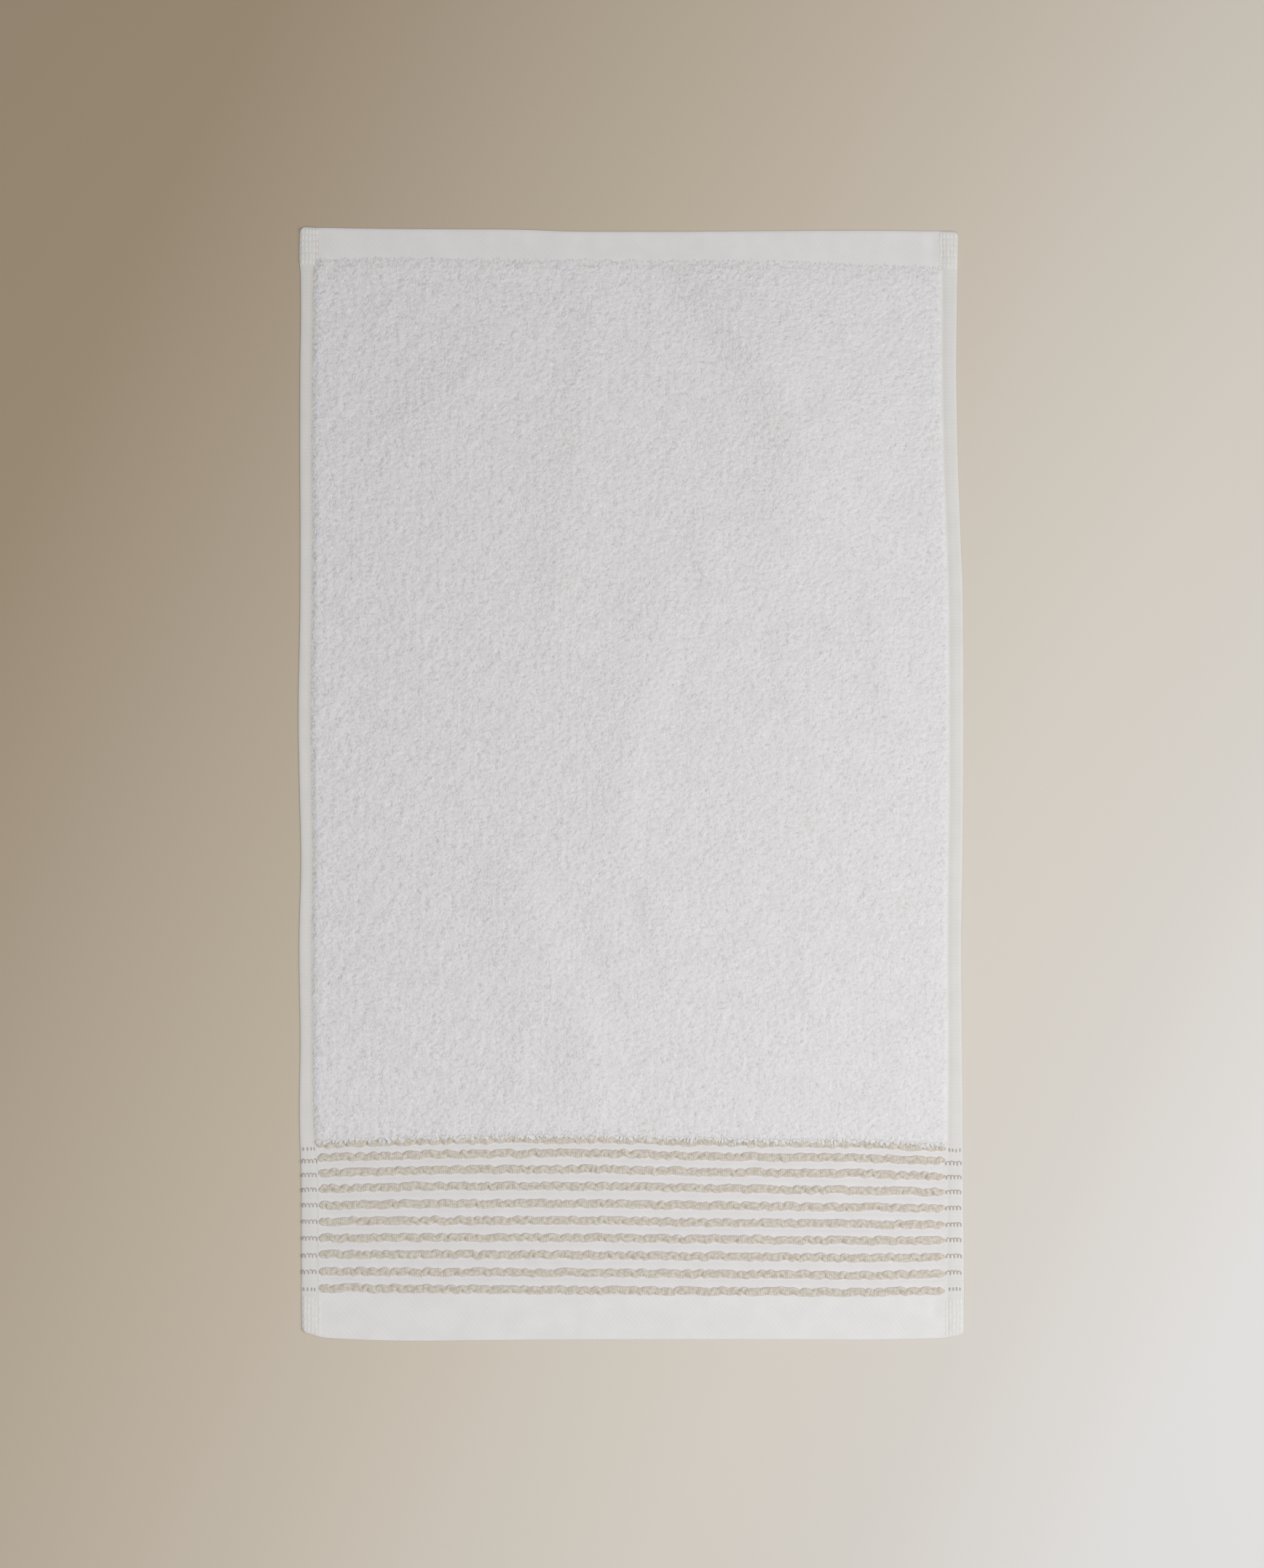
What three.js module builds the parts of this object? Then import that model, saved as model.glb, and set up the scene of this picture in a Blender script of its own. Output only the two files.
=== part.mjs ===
// A small terry towel lying face up on its flat back: one cut length of cloth with a looped field,
// a border of ten ruched ribs, a turned hem at each end and a turned hem down each long side.
// Millimetres. +X runs across the towel, +Y towards its plain end, +Z up. The ribs are at the -Y end.

import * as THREE from "three";

// Heights above the surface that the towel lies on
const FOLDED_EDGE_HEIGHT = 0.6;
const HEM_HEIGHT = 1.5;
const PLAIN_HEM_HEIGHT = 1.8;
const SEAM_HEIGHT = 1.2;
const PILE_HEIGHT = 2.9;
const PILE_WAVE = 0.12;
const STRIPE_HEIGHT = 1.1;
const STRIPE_PUFF = 0.25;
const RIB_HEIGHT = 2.4;
const RIB_PUCKER = 0.2;

// Widths
const EDGE_ROLL = 1.3;
const SEAM_WIDTH = 0.7;
const PILE_SLOPE = 1.8;
const RIB_WIDTH = 5.6;
const RIB_CREST_WIDTH = 3.2;
const CORNER_INSET = 0.7;

// How far apart the field's swells lie, as the wavelengths of three waves divided by a full turn
const SWELL_ACROSS = 31;
const SWELL_ALONG = 43;
const RIPPLE = 15;

// How far apart a rib's puckers lie, measured the same way, and how they shift from rib to rib
const PUCKER_LENGTH = 5.3;
const PUCKER_SHIFT = 2.1;

// How finely the looped field is divided, and how many turns settle where two lines cross
const PILE_ROWS = 36;
const BODY_COLUMNS = 38;
const CROSSING_TURNS = 4;

// The long edges and the seams of the side hems, by distance along the towel
const LONG_EDGES = [
  { along: -339, left: -202.7, leftSeam: -193.5, rightSeam: 194.1, right: 204.8 },
  { along: -316, left: -202.9, leftSeam: -193.5, rightSeam: 194.1, right: 204.9 },
  { along: -248, left: -203.1, leftSeam: -193.5, rightSeam: 194.2, right: 204.3 },
  { along: -203, left: -204.2, leftSeam: -196.4, rightSeam: 195.0, right: 204.1 },
  { along: -158, left: -203.7, leftSeam: -197.2, rightSeam: 195.2, right: 203.7 },
  { along: -102, left: -204.4, leftSeam: -197.4, rightSeam: 194.8, right: 203.2 },
  { along: -46, left: -203.3, leftSeam: -197.0, rightSeam: 195.2, right: 204.0 },
  { along: -1, left: -204.2, leftSeam: -197.6, rightSeam: 195.8, right: 204.5 },
  { along: 44, left: -204.9, leftSeam: -198.2, rightSeam: 195.8, right: 204.6 },
  { along: 111, left: -203.8, leftSeam: -197.4, rightSeam: 195.4, right: 204.3 },
  { along: 156, left: -203.7, leftSeam: -197.2, rightSeam: 194.0, right: 202.7 },
  { along: 201, left: -203.9, leftSeam: -197.4, rightSeam: 192.3, right: 201.1 },
  { along: 257, left: -203.8, leftSeam: -197.2, rightSeam: 191.4, right: 200.2 },
  { along: 291, left: -203.4, leftSeam: -196.8, rightSeam: 191.4, right: 200.5 },
  { along: 343, left: -204.0, leftSeam: -193.5, rightSeam: 190.8, right: 201.5 },
];

// The lines that cross the towel, by distance across it: the two ends and the seam of the plain
// end's hem, and how far the first and the last rib bow from their middles
const CROSS_LINES = [
  { across: -204, plainEnd: 343.2, hemSeam: 320.6, firstRib: -1.6, lastRib: 1.7, ribbedEnd: -337.6 },
  { across: -187, plainEnd: 342.7, hemSeam: 322.5, firstRib: -1.1, lastRib: 1.4, ribbedEnd: -341.5 },
  { across: -134, plainEnd: 342.0, hemSeam: 323.2, firstRib: 0.9, lastRib: 0.8, ribbedEnd: -343.2 },
  { across: -80, plainEnd: 341.8, hemSeam: 322.2, firstRib: 1.9, lastRib: 0.4, ribbedEnd: -342.7 },
  { across: -26, plainEnd: 340.4, hemSeam: 322.0, firstRib: 2.1, lastRib: 0.0, ribbedEnd: -342.4 },
  { across: 28, plainEnd: 340.4, hemSeam: 321.4, firstRib: 0.7, lastRib: -0.4, ribbedEnd: -342.3 },
  { across: 82, plainEnd: 340.8, hemSeam: 321.4, firstRib: -0.4, lastRib: -0.7, ribbedEnd: -342.3 },
  { across: 136, plainEnd: 341.1, hemSeam: 319.4, firstRib: -0.9, lastRib: -1.3, ribbedEnd: -342.5 },
  { across: 190, plainEnd: 340.6, hemSeam: 317.8, firstRib: -3.1, lastRib: -0.1, ribbedEnd: -341.6 },
  { across: 204, plainEnd: 340.2, hemSeam: 317.4, firstRib: -3.3, lastRib: 0.2, ribbedEnd: -339.6 },
];

// The middle of each rib along the towel. The first three stand closer together.
const RIB_MIDDLES = [-221.2, -229.8, -239.4, -249.5, -260.0, -270.3, -280.6, -291.1, -301.8, -312.3];

// The main creases of the field. Each has a soft ridge, whose slopes reach this far to its left and to
// its right. The table of its crest runs down the towel and says how high it lifts the cloth.
const CREASES = [
  {
    reachLeft: 15,
    reachRight: 28,
    crest: [
      { x: 8, y: 352, height: 0.4 },
      { x: 35, y: 316, height: 2.3 },
      { x: 59, y: 289, height: 4.0 },
      { x: 82, y: 261, height: 3.2 },
      { x: 100, y: 232, height: 0 },
    ],
  },
  {
    reachLeft: 25,
    reachRight: 42,
    crest: [
      { x: 66, y: 292, height: 0 },
      { x: 94, y: 252, height: 2.2 },
      { x: 104, y: 222, height: 3.6 },
      { x: 104, y: 190, height: 2.8 },
      { x: 100, y: 160, height: 1.8 },
      { x: 94, y: 112, height: 0 },
    ],
  },
  {
    reachLeft: 24,
    reachRight: 13,
    crest: [
      { x: 18, y: 150, height: 0 },
      { x: 16, y: 84, height: 1.2 },
      { x: 5, y: 50, height: 1.2 },
      { x: -4, y: 14, height: 1.2 },
      { x: -8, y: -28, height: 0.9 },
      { x: -10, y: -66, height: 0 },
    ],
  },
  {
    reachLeft: 22,
    reachRight: 14,
    crest: [
      { x: -84, y: -20, height: 0 },
      { x: -60, y: -86, height: 1.65 },
      { x: -45, y: -118, height: 1.65 },
      { x: -30, y: -150, height: 1.65 },
      { x: -25, y: -172, height: 1.65 },
      { x: -12, y: -225, height: 0 },
    ],
  },
  {
    reachLeft: 12,
    reachRight: 30,
    crest: [
      { x: -76, y: 286, height: 0 },
      { x: -98, y: 262, height: 0.95 },
      { x: -116, y: 244, height: 0.95 },
      { x: -138, y: 224, height: 0.95 },
      { x: -160, y: 206, height: 0 },
    ],
  },
  {
    reachLeft: 12,
    reachRight: 20,
    crest: [
      { x: -22, y: 340, height: 0 },
      { x: -26, y: 262, height: 0.8 },
      { x: -40, y: 180, height: 0.8 },
      { x: -46, y: 120, height: 0.75 },
      { x: -47, y: 60, height: 0 },
    ],
  },
];

// How far from the plain end the creases have reached their whole height
const CREASE_RISE = 46;

// Returns the smooth curve through one column of a table.
function curveThrough(table, place, value) {
  const places = table.map((row) => row[place]);
  const values = table.map((row) => row[value]);
  const curve = new THREE.CubicInterpolant(places, values, 1);
  return (at) => curve.evaluate(at)[0];
}

const leftEdge = curveThrough(LONG_EDGES, "along", "left");
const leftSeam = curveThrough(LONG_EDGES, "along", "leftSeam");
const rightSeam = curveThrough(LONG_EDGES, "along", "rightSeam");
const rightEdge = curveThrough(LONG_EDGES, "along", "right");
const plainEnd = curveThrough(CROSS_LINES, "across", "plainEnd");
const hemSeam = curveThrough(CROSS_LINES, "across", "hemSeam");
const firstRibBow = curveThrough(CROSS_LINES, "across", "firstRib");
const lastRibBow = curveThrough(CROSS_LINES, "across", "lastRib");
const ribbedEnd = curveThrough(CROSS_LINES, "across", "ribbedEnd");

// A rib's middle line. The bow of the ribs between the first and the last one blends evenly.
function ribLine(rib, x) {
  const share = rib / (RIB_MIDDLES.length - 1);
  return RIB_MIDDLES[rib] + THREE.MathUtils.lerp(firstRibBow(x), lastRibBow(x), share);
}

// How far one crease lifts a place. The nearest stretch of its crest counts.
function liftOfCrease(crease, x, y) {
  let nearest = Infinity;
  let lift = 0;
  for (let stretch = 1; stretch < crease.crest.length; stretch += 1) {
    const start = crease.crest[stretch - 1];
    const end = crease.crest[stretch];
    const wayX = end.x - start.x;
    const wayY = end.y - start.y;
    const passed = ((x - start.x) * wayX + (y - start.y) * wayY) / (wayX * wayX + wayY * wayY);
    const share = THREE.MathUtils.clamp(passed, 0, 1);
    const asideX = x - start.x - share * wayX;
    const asideY = y - start.y - share * wayY;
    const distance = Math.hypot(asideX, asideY);
    if (distance < nearest) {
      const isLeft = asideY * wayX < asideX * wayY;
      const reach = isLeft ? crease.reachLeft : crease.reachRight;
      const height = THREE.MathUtils.lerp(start.height, end.height, share);
      lift = height * Math.exp(-((distance / reach) ** 2));
      nearest = distance;
    }
  }
  return lift;
}

// How far all the creases lift a place. They sink to nothing at the plain end.
function creaseLift(x, y) {
  const lift = CREASES.reduce((sum, crease) => sum + liftOfCrease(crease, x, y), 0);
  return lift * THREE.MathUtils.smoothstep(plainEnd(x) - y, 0, CREASE_RISE);
}

// The looped field swells and sinks a little, as loosely laid terry does.
function pileHeight(x, y) {
  const swell = Math.sin(x / SWELL_ACROSS + y / SWELL_ALONG) * Math.cos(y / SWELL_ALONG);
  const ripple = Math.sin((x - y) / RIPPLE);
  const wave = THREE.MathUtils.lerp(swell, ripple, 1 / 3);
  return PILE_HEIGHT - PILE_WAVE + PILE_WAVE * wave + creaseLift(x, y);
}

// A ruched rib stands higher and lower along its length.
function ribHeight(rib, x) {
  const pucker = Math.sin(x / PUCKER_LENGTH + rib * PUCKER_SHIFT);
  return RIB_HEIGHT - RIB_PUCKER + RIB_PUCKER * pucker;
}

// Each row of the surface is a line across the towel with the height of the cloth between the side
// hems. A row at an end of the towel lies on its folded edge.
function rowsOfTowel() {
  const rows = [];
  const add = (line, height, isEnd = false) => rows.push({ line, height, isEnd });
  const fieldTop = (x) => hemSeam(x) - PILE_SLOPE;
  const fieldFoot = (x) => ribLine(0, x) + RIB_WIDTH / 2 + SEAM_WIDTH;

  add(plainEnd, () => FOLDED_EDGE_HEIGHT, true);
  add((x) => plainEnd(x) - EDGE_ROLL, () => PLAIN_HEM_HEIGHT);
  add((x) => hemSeam(x) + SEAM_WIDTH, (x, y) => PLAIN_HEM_HEIGHT + creaseLift(x, y));
  add(hemSeam, (x, y) => SEAM_HEIGHT + creaseLift(x, y));
  for (let row = 0; row <= PILE_ROWS; row += 1) {
    const share = row / PILE_ROWS;
    add((x) => THREE.MathUtils.lerp(fieldTop(x), fieldFoot(x), share), pileHeight);
  }
  for (let rib = 0; rib < RIB_MIDDLES.length; rib += 1) {
    const ribTop = (x) => ribHeight(rib, x);
    add((x) => ribLine(rib, x) + RIB_WIDTH / 2, () => STRIPE_HEIGHT);
    add((x) => ribLine(rib, x) + RIB_CREST_WIDTH / 2, ribTop);
    add((x) => ribLine(rib, x) - RIB_CREST_WIDTH / 2, ribTop);
    add((x) => ribLine(rib, x) - RIB_WIDTH / 2, () => STRIPE_HEIGHT);
    if (rib < RIB_MIDDLES.length - 1) {
      add((x) => (ribLine(rib, x) + ribLine(rib + 1, x)) / 2, () => STRIPE_HEIGHT + STRIPE_PUFF);
    }
  }
  add((x) => (ribLine(RIB_MIDDLES.length - 1, x) + ribbedEnd(x)) / 2, () => HEM_HEIGHT);
  add((x) => ribbedEnd(x) + EDGE_ROLL, () => HEM_HEIGHT);
  add(ribbedEnd, () => FOLDED_EDGE_HEIGHT, true);
  return rows;
}

// Each column is a line down the towel. A fixed height holds all along a side hem, and null leaves
// the height to the row.
function columnsOfTowel() {
  const columns = [];
  const add = (line, height, isEdge = false) => columns.push({ line, height, isEdge });
  const bodyLeft = (y) => leftSeam(y) + PILE_SLOPE;
  const bodyRight = (y) => rightSeam(y) - PILE_SLOPE;

  add(leftEdge, FOLDED_EDGE_HEIGHT, true);
  add((y) => leftEdge(y) + EDGE_ROLL, HEM_HEIGHT);
  add((y) => leftSeam(y) - SEAM_WIDTH, HEM_HEIGHT);
  add(leftSeam, SEAM_HEIGHT);
  for (let column = 0; column <= BODY_COLUMNS; column += 1) {
    const share = column / BODY_COLUMNS;
    add((y) => THREE.MathUtils.lerp(bodyLeft(y), bodyRight(y), share), null);
  }
  add(rightSeam, SEAM_HEIGHT);
  add((y) => rightSeam(y) + SEAM_WIDTH, HEM_HEIGHT);
  add((y) => rightEdge(y) - EDGE_ROLL, HEM_HEIGHT);
  add(rightEdge, FOLDED_EDGE_HEIGHT, true);
  return columns;
}

// Returns where a row meets a column. Both are nearly straight, so a few turns settle the place.
function crossing(row, column) {
  const place = new THREE.Vector2();
  for (let turn = 0; turn < CROSSING_TURNS; turn += 1) {
    place.y = row.line(place.x);
    place.x = column.line(place.y);
  }
  if (row.isEnd && column.isEdge) {
    place.x -= Math.sign(place.x) * CORNER_INSET;
    place.y -= Math.sign(place.y) * CORNER_INSET;
  }
  return place;
}

function surfacePoint(row, column) {
  const { x, y } = crossing(row, column);
  if (row.isEnd) {
    return new THREE.Vector3(x, y, FOLDED_EDGE_HEIGHT);
  }
  return new THREE.Vector3(x, y, column.height ?? row.height(x, y));
}

// Returns the numbers of the grid's border points, anticlockwise from above.
function borderOf(rowCount, columnCount) {
  const number = (row, column) => row * columnCount + column;
  const border = [];
  for (let row = 0; row < rowCount - 1; row += 1) {
    border.push(number(row, 0));
  }
  for (let column = 0; column < columnCount - 1; column += 1) {
    border.push(number(rowCount - 1, column));
  }
  for (let row = rowCount - 1; row > 0; row -= 1) {
    border.push(number(row, columnCount - 1));
  }
  for (let column = columnCount - 1; column > 0; column -= 1) {
    border.push(number(0, column));
  }
  return border;
}

// The closed sheet: the upper surface, a low wall round it and a flat back, which is a fan of
// triangles round the middle of the towel.
function towelGeometry() {
  const rows = rowsOfTowel();
  const columns = columnsOfTowel();
  const points = rows.flatMap((row) => columns.map((column) => surfacePoint(row, column)));
  const triangles = [];

  for (let row = 0; row < rows.length - 1; row += 1) {
    for (let column = 0; column < columns.length - 1; column += 1) {
      const upper = row * columns.length + column;
      const lower = upper + columns.length;
      triangles.push(upper, lower, upper + 1);
      triangles.push(upper + 1, lower, lower + 1);
    }
  }

  const border = borderOf(rows.length, columns.length);
  const firstBack = points.length;
  const backPoints = border.map((number) => points[number].clone().setZ(0));
  const middle = firstBack + border.length;
  points.push(...backPoints, new THREE.Vector3(0, 0, 0));
  border.forEach((top, step) => {
    const next = (step + 1) % border.length;
    const back = firstBack + step;
    const nextBack = firstBack + next;
    triangles.push(back, nextBack, border[next]);
    triangles.push(back, border[next], top);
    triangles.push(middle, nextBack, back);
  });

  const geometry = new THREE.BufferGeometry().setFromPoints(points);
  geometry.setIndex(triangles);
  geometry.computeVertexNormals();
  return geometry;
}

const cotton = new THREE.MeshStandardMaterial({ color: 0xdfdcd8, roughness: 0.95, metalness: 0 });

const towel = new THREE.Mesh(towelGeometry(), cotton);
towel.name = "terry_towel";

const group = new THREE.Group();
group.add(towel);

export default group;
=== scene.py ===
# %% [markdown]
# # A small terry towel with a ruched border
#
# This notebook builds one white cotton hand towel that lies face up, seen from straight above. Most of it is
# a looped field. Near one end ten beige ribs run across it, puckered like gathered ribbon, with smooth white
# stripes between them. Both ends and both long sides are folded over and sewn down.
#
# Cloth like this has three scales. Its outline, hems and soft creases are one closed sheet. Its loops, ribs
# and stitches are real shapes too, because each of them catches the light and throws a small shadow. The
# threads themselves and the fluff of the pile are left to the materials.

import bpy
import numpy as np
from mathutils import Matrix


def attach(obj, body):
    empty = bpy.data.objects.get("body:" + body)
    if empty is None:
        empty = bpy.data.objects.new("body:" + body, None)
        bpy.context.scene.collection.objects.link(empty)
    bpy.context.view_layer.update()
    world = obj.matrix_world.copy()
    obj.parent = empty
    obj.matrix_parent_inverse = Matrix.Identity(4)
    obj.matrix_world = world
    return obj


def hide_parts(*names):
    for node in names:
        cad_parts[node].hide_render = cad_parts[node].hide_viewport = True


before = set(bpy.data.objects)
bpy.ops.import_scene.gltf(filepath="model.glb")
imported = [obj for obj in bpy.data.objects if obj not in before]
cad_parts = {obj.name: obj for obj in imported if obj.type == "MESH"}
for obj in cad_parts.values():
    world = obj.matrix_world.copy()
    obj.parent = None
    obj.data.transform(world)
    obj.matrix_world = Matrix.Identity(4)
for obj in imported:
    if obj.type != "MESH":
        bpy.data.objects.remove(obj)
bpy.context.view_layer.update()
MM = 0.001

# %% [markdown]
# ## The lines of the cloth
#
# A towel is never quite a rectangle. Its hems pull in, its weave drifts, and the border bows where it was
# stretched on the loom. The whole model hangs on a few long lines: the two edges and two seams that run
# along the towel, and the ends, the hem's seam and the ribs that run across it.
#
# Each line could be drawn as a Blender curve. A short table of places with a smooth formula through them is
# easier to reuse, because every later piece can ask where a line runs at any point. The tables are in
# millimetres, with +X across the towel and +Y towards its plain end.

# %% Lay out the lines of the cloth
LONG_LINES = [
    dict(along=-339, left=-203.2, left_seam=-193.5, right_seam=194.1, right=204.8),
    dict(along=-316, left=-203.4, left_seam=-193.5, right_seam=194.1, right=204.9),
    dict(along=-248, left=-203.6, left_seam=-193.5, right_seam=194.2, right=204.3),
    dict(along=-203, left=-204.7, left_seam=-196.4, right_seam=195.0, right=204.1),
    dict(along=-158, left=-204.2, left_seam=-197.2, right_seam=195.2, right=203.7),
    dict(along=-102, left=-204.9, left_seam=-197.4, right_seam=194.8, right=203.2),
    dict(along=-46, left=-203.8, left_seam=-197.0, right_seam=195.2, right=204.0),
    dict(along=-1, left=-204.7, left_seam=-197.6, right_seam=195.8, right=204.5),
    dict(along=44, left=-205.4, left_seam=-198.2, right_seam=195.8, right=204.6),
    dict(along=111, left=-204.3, left_seam=-197.4, right_seam=195.4, right=204.3),
    dict(along=156, left=-204.2, left_seam=-197.2, right_seam=194.0, right=202.7),
    dict(along=201, left=-204.4, left_seam=-197.4, right_seam=192.3, right=201.1),
    dict(along=257, left=-204.3, left_seam=-197.2, right_seam=191.4, right=200.2),
    dict(along=291, left=-203.9, left_seam=-196.8, right_seam=191.4, right=200.5),
    dict(along=316, left=-204.1, left_seam=-196.6, right_seam=191.3, right=200.9),
    dict(along=324, left=-204.8, left_seam=-193.6, right_seam=191.0, right=201.1),
    dict(along=343, left=-204.5, left_seam=-193.5, right_seam=190.8, right=201.5),
]
CROSS_LINES = [
    dict(across=-204, plain_end=343.6, hem_seam=320.6, first_rib=-1.6, last_rib=1.7, ribbed_end=-337.6),
    dict(across=-187, plain_end=343.1, hem_seam=322.5, first_rib=-1.1, last_rib=1.4, ribbed_end=-341.5),
    dict(across=-134, plain_end=342.4, hem_seam=323.2, first_rib=0.9, last_rib=0.8, ribbed_end=-343.2),
    dict(across=-80, plain_end=342.2, hem_seam=322.2, first_rib=1.9, last_rib=0.4, ribbed_end=-342.7),
    dict(across=-26, plain_end=340.8, hem_seam=322.0, first_rib=2.1, last_rib=0.0, ribbed_end=-342.4),
    dict(across=28, plain_end=340.8, hem_seam=321.4, first_rib=0.7, last_rib=-0.4, ribbed_end=-342.3),
    dict(across=82, plain_end=341.2, hem_seam=321.4, first_rib=-0.4, last_rib=-0.7, ribbed_end=-342.3),
    dict(across=136, plain_end=341.5, hem_seam=319.4, first_rib=-0.9, last_rib=-1.3, ribbed_end=-342.5),
    dict(across=190, plain_end=341.0, hem_seam=317.8, first_rib=-3.1, last_rib=-0.1, ribbed_end=-341.6),
    dict(across=204, plain_end=340.6, hem_seam=317.4, first_rib=-3.3, last_rib=0.2, ribbed_end=-339.6),
]
RIB_MIDDLES = [-221.2, -229.8, -239.4, -249.5, -260.0, -270.3, -280.6, -291.1, -301.8, -312.3]


def smooth_line(table, place, value):
    """A smooth curve through two columns of a table, as a function of an array of places, in metres."""
    places = np.array([row[place] for row in table]) * MM
    values = np.array([row[value] for row in table]) * MM
    rises = np.diff(values) / np.diff(places)
    before, after = rises[:-1], rises[1:]
    inner = np.where(before * after > 0, 2 * before * after / (before + after + 1e-12), 0)
    slopes = np.concatenate([rises[:1], inner, rises[-1:]])

    def line(at):
        at = np.clip(at, places[0], places[-1])
        span = np.clip(np.searchsorted(places, at) - 1, 0, len(places) - 2)
        step = places[span + 1] - places[span]
        t = (at - places[span]) / step
        rest = 1 - t
        by_place = values[span] * (1 + 2 * t) * rest**2 + values[span + 1] * t**2 * (1 + 2 * rest)
        by_slope = slopes[span] * t * rest**2 - slopes[span + 1] * t**2 * rest
        return by_place + step * by_slope

    return line


left_edge, left_seam, right_seam, right_edge = (
    smooth_line(LONG_LINES, "along", name) for name in ("left", "left_seam", "right_seam", "right")
)
plain_end, hem_seam, first_rib, last_rib, ribbed_end = (
    smooth_line(CROSS_LINES, "across", name)
    for name in ("plain_end", "hem_seam", "first_rib", "last_rib", "ribbed_end")
)


def rib_line(rib):
    """The middle line of one rib. The bow of the ribs between the first and the last blends evenly."""
    share = rib / (len(RIB_MIDDLES) - 1)
    return lambda x: RIB_MIDDLES[rib] * MM + (1 - share) * first_rib(x) + share * last_rib(x)


RIB_LINES = [rib_line(rib) for rib in range(len(RIB_MIDDLES))]
middle_width = right_edge(0.0) - left_edge(0.0)
middle_length = plain_end(0.0) - ribbed_end(0.0)
print(f"the towel is {middle_width * 1000:.1f} mm wide and {middle_length * 1000:.1f} mm long at its middle")

# %% [markdown]
# ## A camera straight above, and soft light from one side
#
# A flat lay is taken from a tripod arm right over the cloth. A longish lens keeps the edges straight. The
# camera hangs where an 85 mm lens takes in a little less than twice the towel's width.
#
# White terry only shows its loops when light comes from the side. One wide panel stands to the right,
# a second hangs overhead, nearer to the ribbed end, and the pale surroundings fill the shadows. A smaller
# panel would be harder and would make each loop look like a grain of sand. Under the towel lies plain matt
# board. Its colour holds a painted pool of light: beige in the far corner and paler towards the light.

# %% Set up the camera, light and floor
LENS = 85.0
SENSOR = 36.0
FRAME_HEIGHT = 967.1 * MM
FRAME_CENTRE = (0.25 * MM, 0.15 * MM)
PANELS = [
    dict(name="side_panel", place=(1.07, -0.28, 1.3), size=1.2, power=14.0),
    dict(name="overhead_panel", place=(0.10, -0.75, 1.60), size=1.0, power=6.2),
]
FILL = 0.345
FLOOR_SIZE = 14.0
# The painted pool of light on the board: its colours from the darker corner to the paler one, where on
# that scale the towel's middle lies, and how fast the place on it grows with x and y
FLOOR_PAINTED_LIGHT = [
    (0.00, (0.455, 0.362, 0.255)),
    (0.20, (0.562, 0.476, 0.369)),
    (0.38, (0.644, 0.560, 0.453)),
    (0.58, (0.713, 0.653, 0.567)),
    (0.72, (0.730, 0.685, 0.617)),
    (0.84, (0.718, 0.680, 0.630)),
    (1.00, (0.770, 0.755, 0.742)),
]
FLOOR_SHARE = 0.47
FLOOR_GROWTH = (1.0, -0.5, 0.0)

camera_data = bpy.data.cameras.new("overhead_camera")
camera_data.lens = LENS
camera_data.sensor_width = SENSOR
camera = bpy.data.objects.new("overhead_camera", camera_data)
camera.location = (*FRAME_CENTRE, FRAME_HEIGHT * LENS / SENSOR)
bpy.context.scene.collection.objects.link(camera)
bpy.context.scene.camera = camera
bpy.context.scene.view_settings.view_transform = "Standard"

for settings in PANELS:
    panel_data = bpy.data.lights.new(settings["name"], "AREA")
    panel_data.size = settings["size"]
    panel_data.energy = settings["power"]
    panel = bpy.data.objects.new(settings["name"], panel_data)
    panel.location = settings["place"]
    panel.rotation_euler = panel.location.to_track_quat("Z", "Y").to_euler()
    bpy.context.scene.collection.objects.link(panel)

world = bpy.data.worlds.new("pale_surroundings")
world.use_nodes = True
world.node_tree.nodes["Background"].inputs["Color"].default_value = (1.0, 0.99, 0.98, 1.0)
world.node_tree.nodes["Background"].inputs["Strength"].default_value = FILL
bpy.context.scene.world = world

half = FLOOR_SIZE / 2
floor_mesh = bpy.data.meshes.new("floor")
corners = [(-half, -half, 0), (half, -half, 0), (half, half, 0), (-half, half, 0)]
floor_mesh.from_pydata(corners, [], [(0, 1, 2, 3)])
floor = bpy.data.objects.new("floor", floor_mesh)
bpy.context.scene.collection.objects.link(floor)
board = bpy.data.materials.new("matt_board")
board.use_nodes = True
nodes, links = board.node_tree.nodes, board.node_tree.links
nodes["Principled BSDF"].inputs["Roughness"].default_value = 0.9
nodes["Principled BSDF"].inputs["Specular IOR Level"].default_value = 0.1
place = nodes.new("ShaderNodeTexCoord")
growth = nodes.new("ShaderNodeVectorMath")
growth.operation = "DOT_PRODUCT"
growth.inputs[1].default_value = FLOOR_GROWTH
share = nodes.new("ShaderNodeMath")
share.inputs[1].default_value = FLOOR_SHARE
# The ramp paints light on the board: beige far from the panels, pale near them
painted_light_ramp = nodes.new("ShaderNodeValToRGB")
while len(painted_light_ramp.color_ramp.elements) < len(FLOOR_PAINTED_LIGHT):
    painted_light_ramp.color_ramp.elements.new(0.5)
for stop, (at, colour) in zip(painted_light_ramp.color_ramp.elements, FLOOR_PAINTED_LIGHT):
    stop.position = at
    stop.color = (*colour, 1.0)
links.new(place.outputs["Object"], growth.inputs[0])
links.new(growth.outputs["Value"], share.inputs[0])
links.new(share.outputs[0], painted_light_ramp.inputs[0])
links.new(painted_light_ramp.outputs["Color"], nodes["Principled BSDF"].inputs["Base Color"])
floor_mesh.materials.append(board)
print(f"camera {camera.location.z:.3f} m up, {len(PANELS)} light panels")

# %% [markdown]
# ## How high the cloth stands
#
# From the side the towel is a landscape a few millimetres high. A hem is two layers with a round folded
# edge. Its seam pulls a narrow groove. The looped field stands higher than the hems, the border's ground
# lies lower, and the white stripes swell between the ribs. Where two hems meet at a corner the cloth is
# thickest. A few soft creases, left from folding, run down the field.
#
# This could be sculpted by hand. Here one function returns the height at any place, so that the sheet, the
# loops, the ribs and the stitches all sit on the same landscape. Each feature is one term of a sum.

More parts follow.
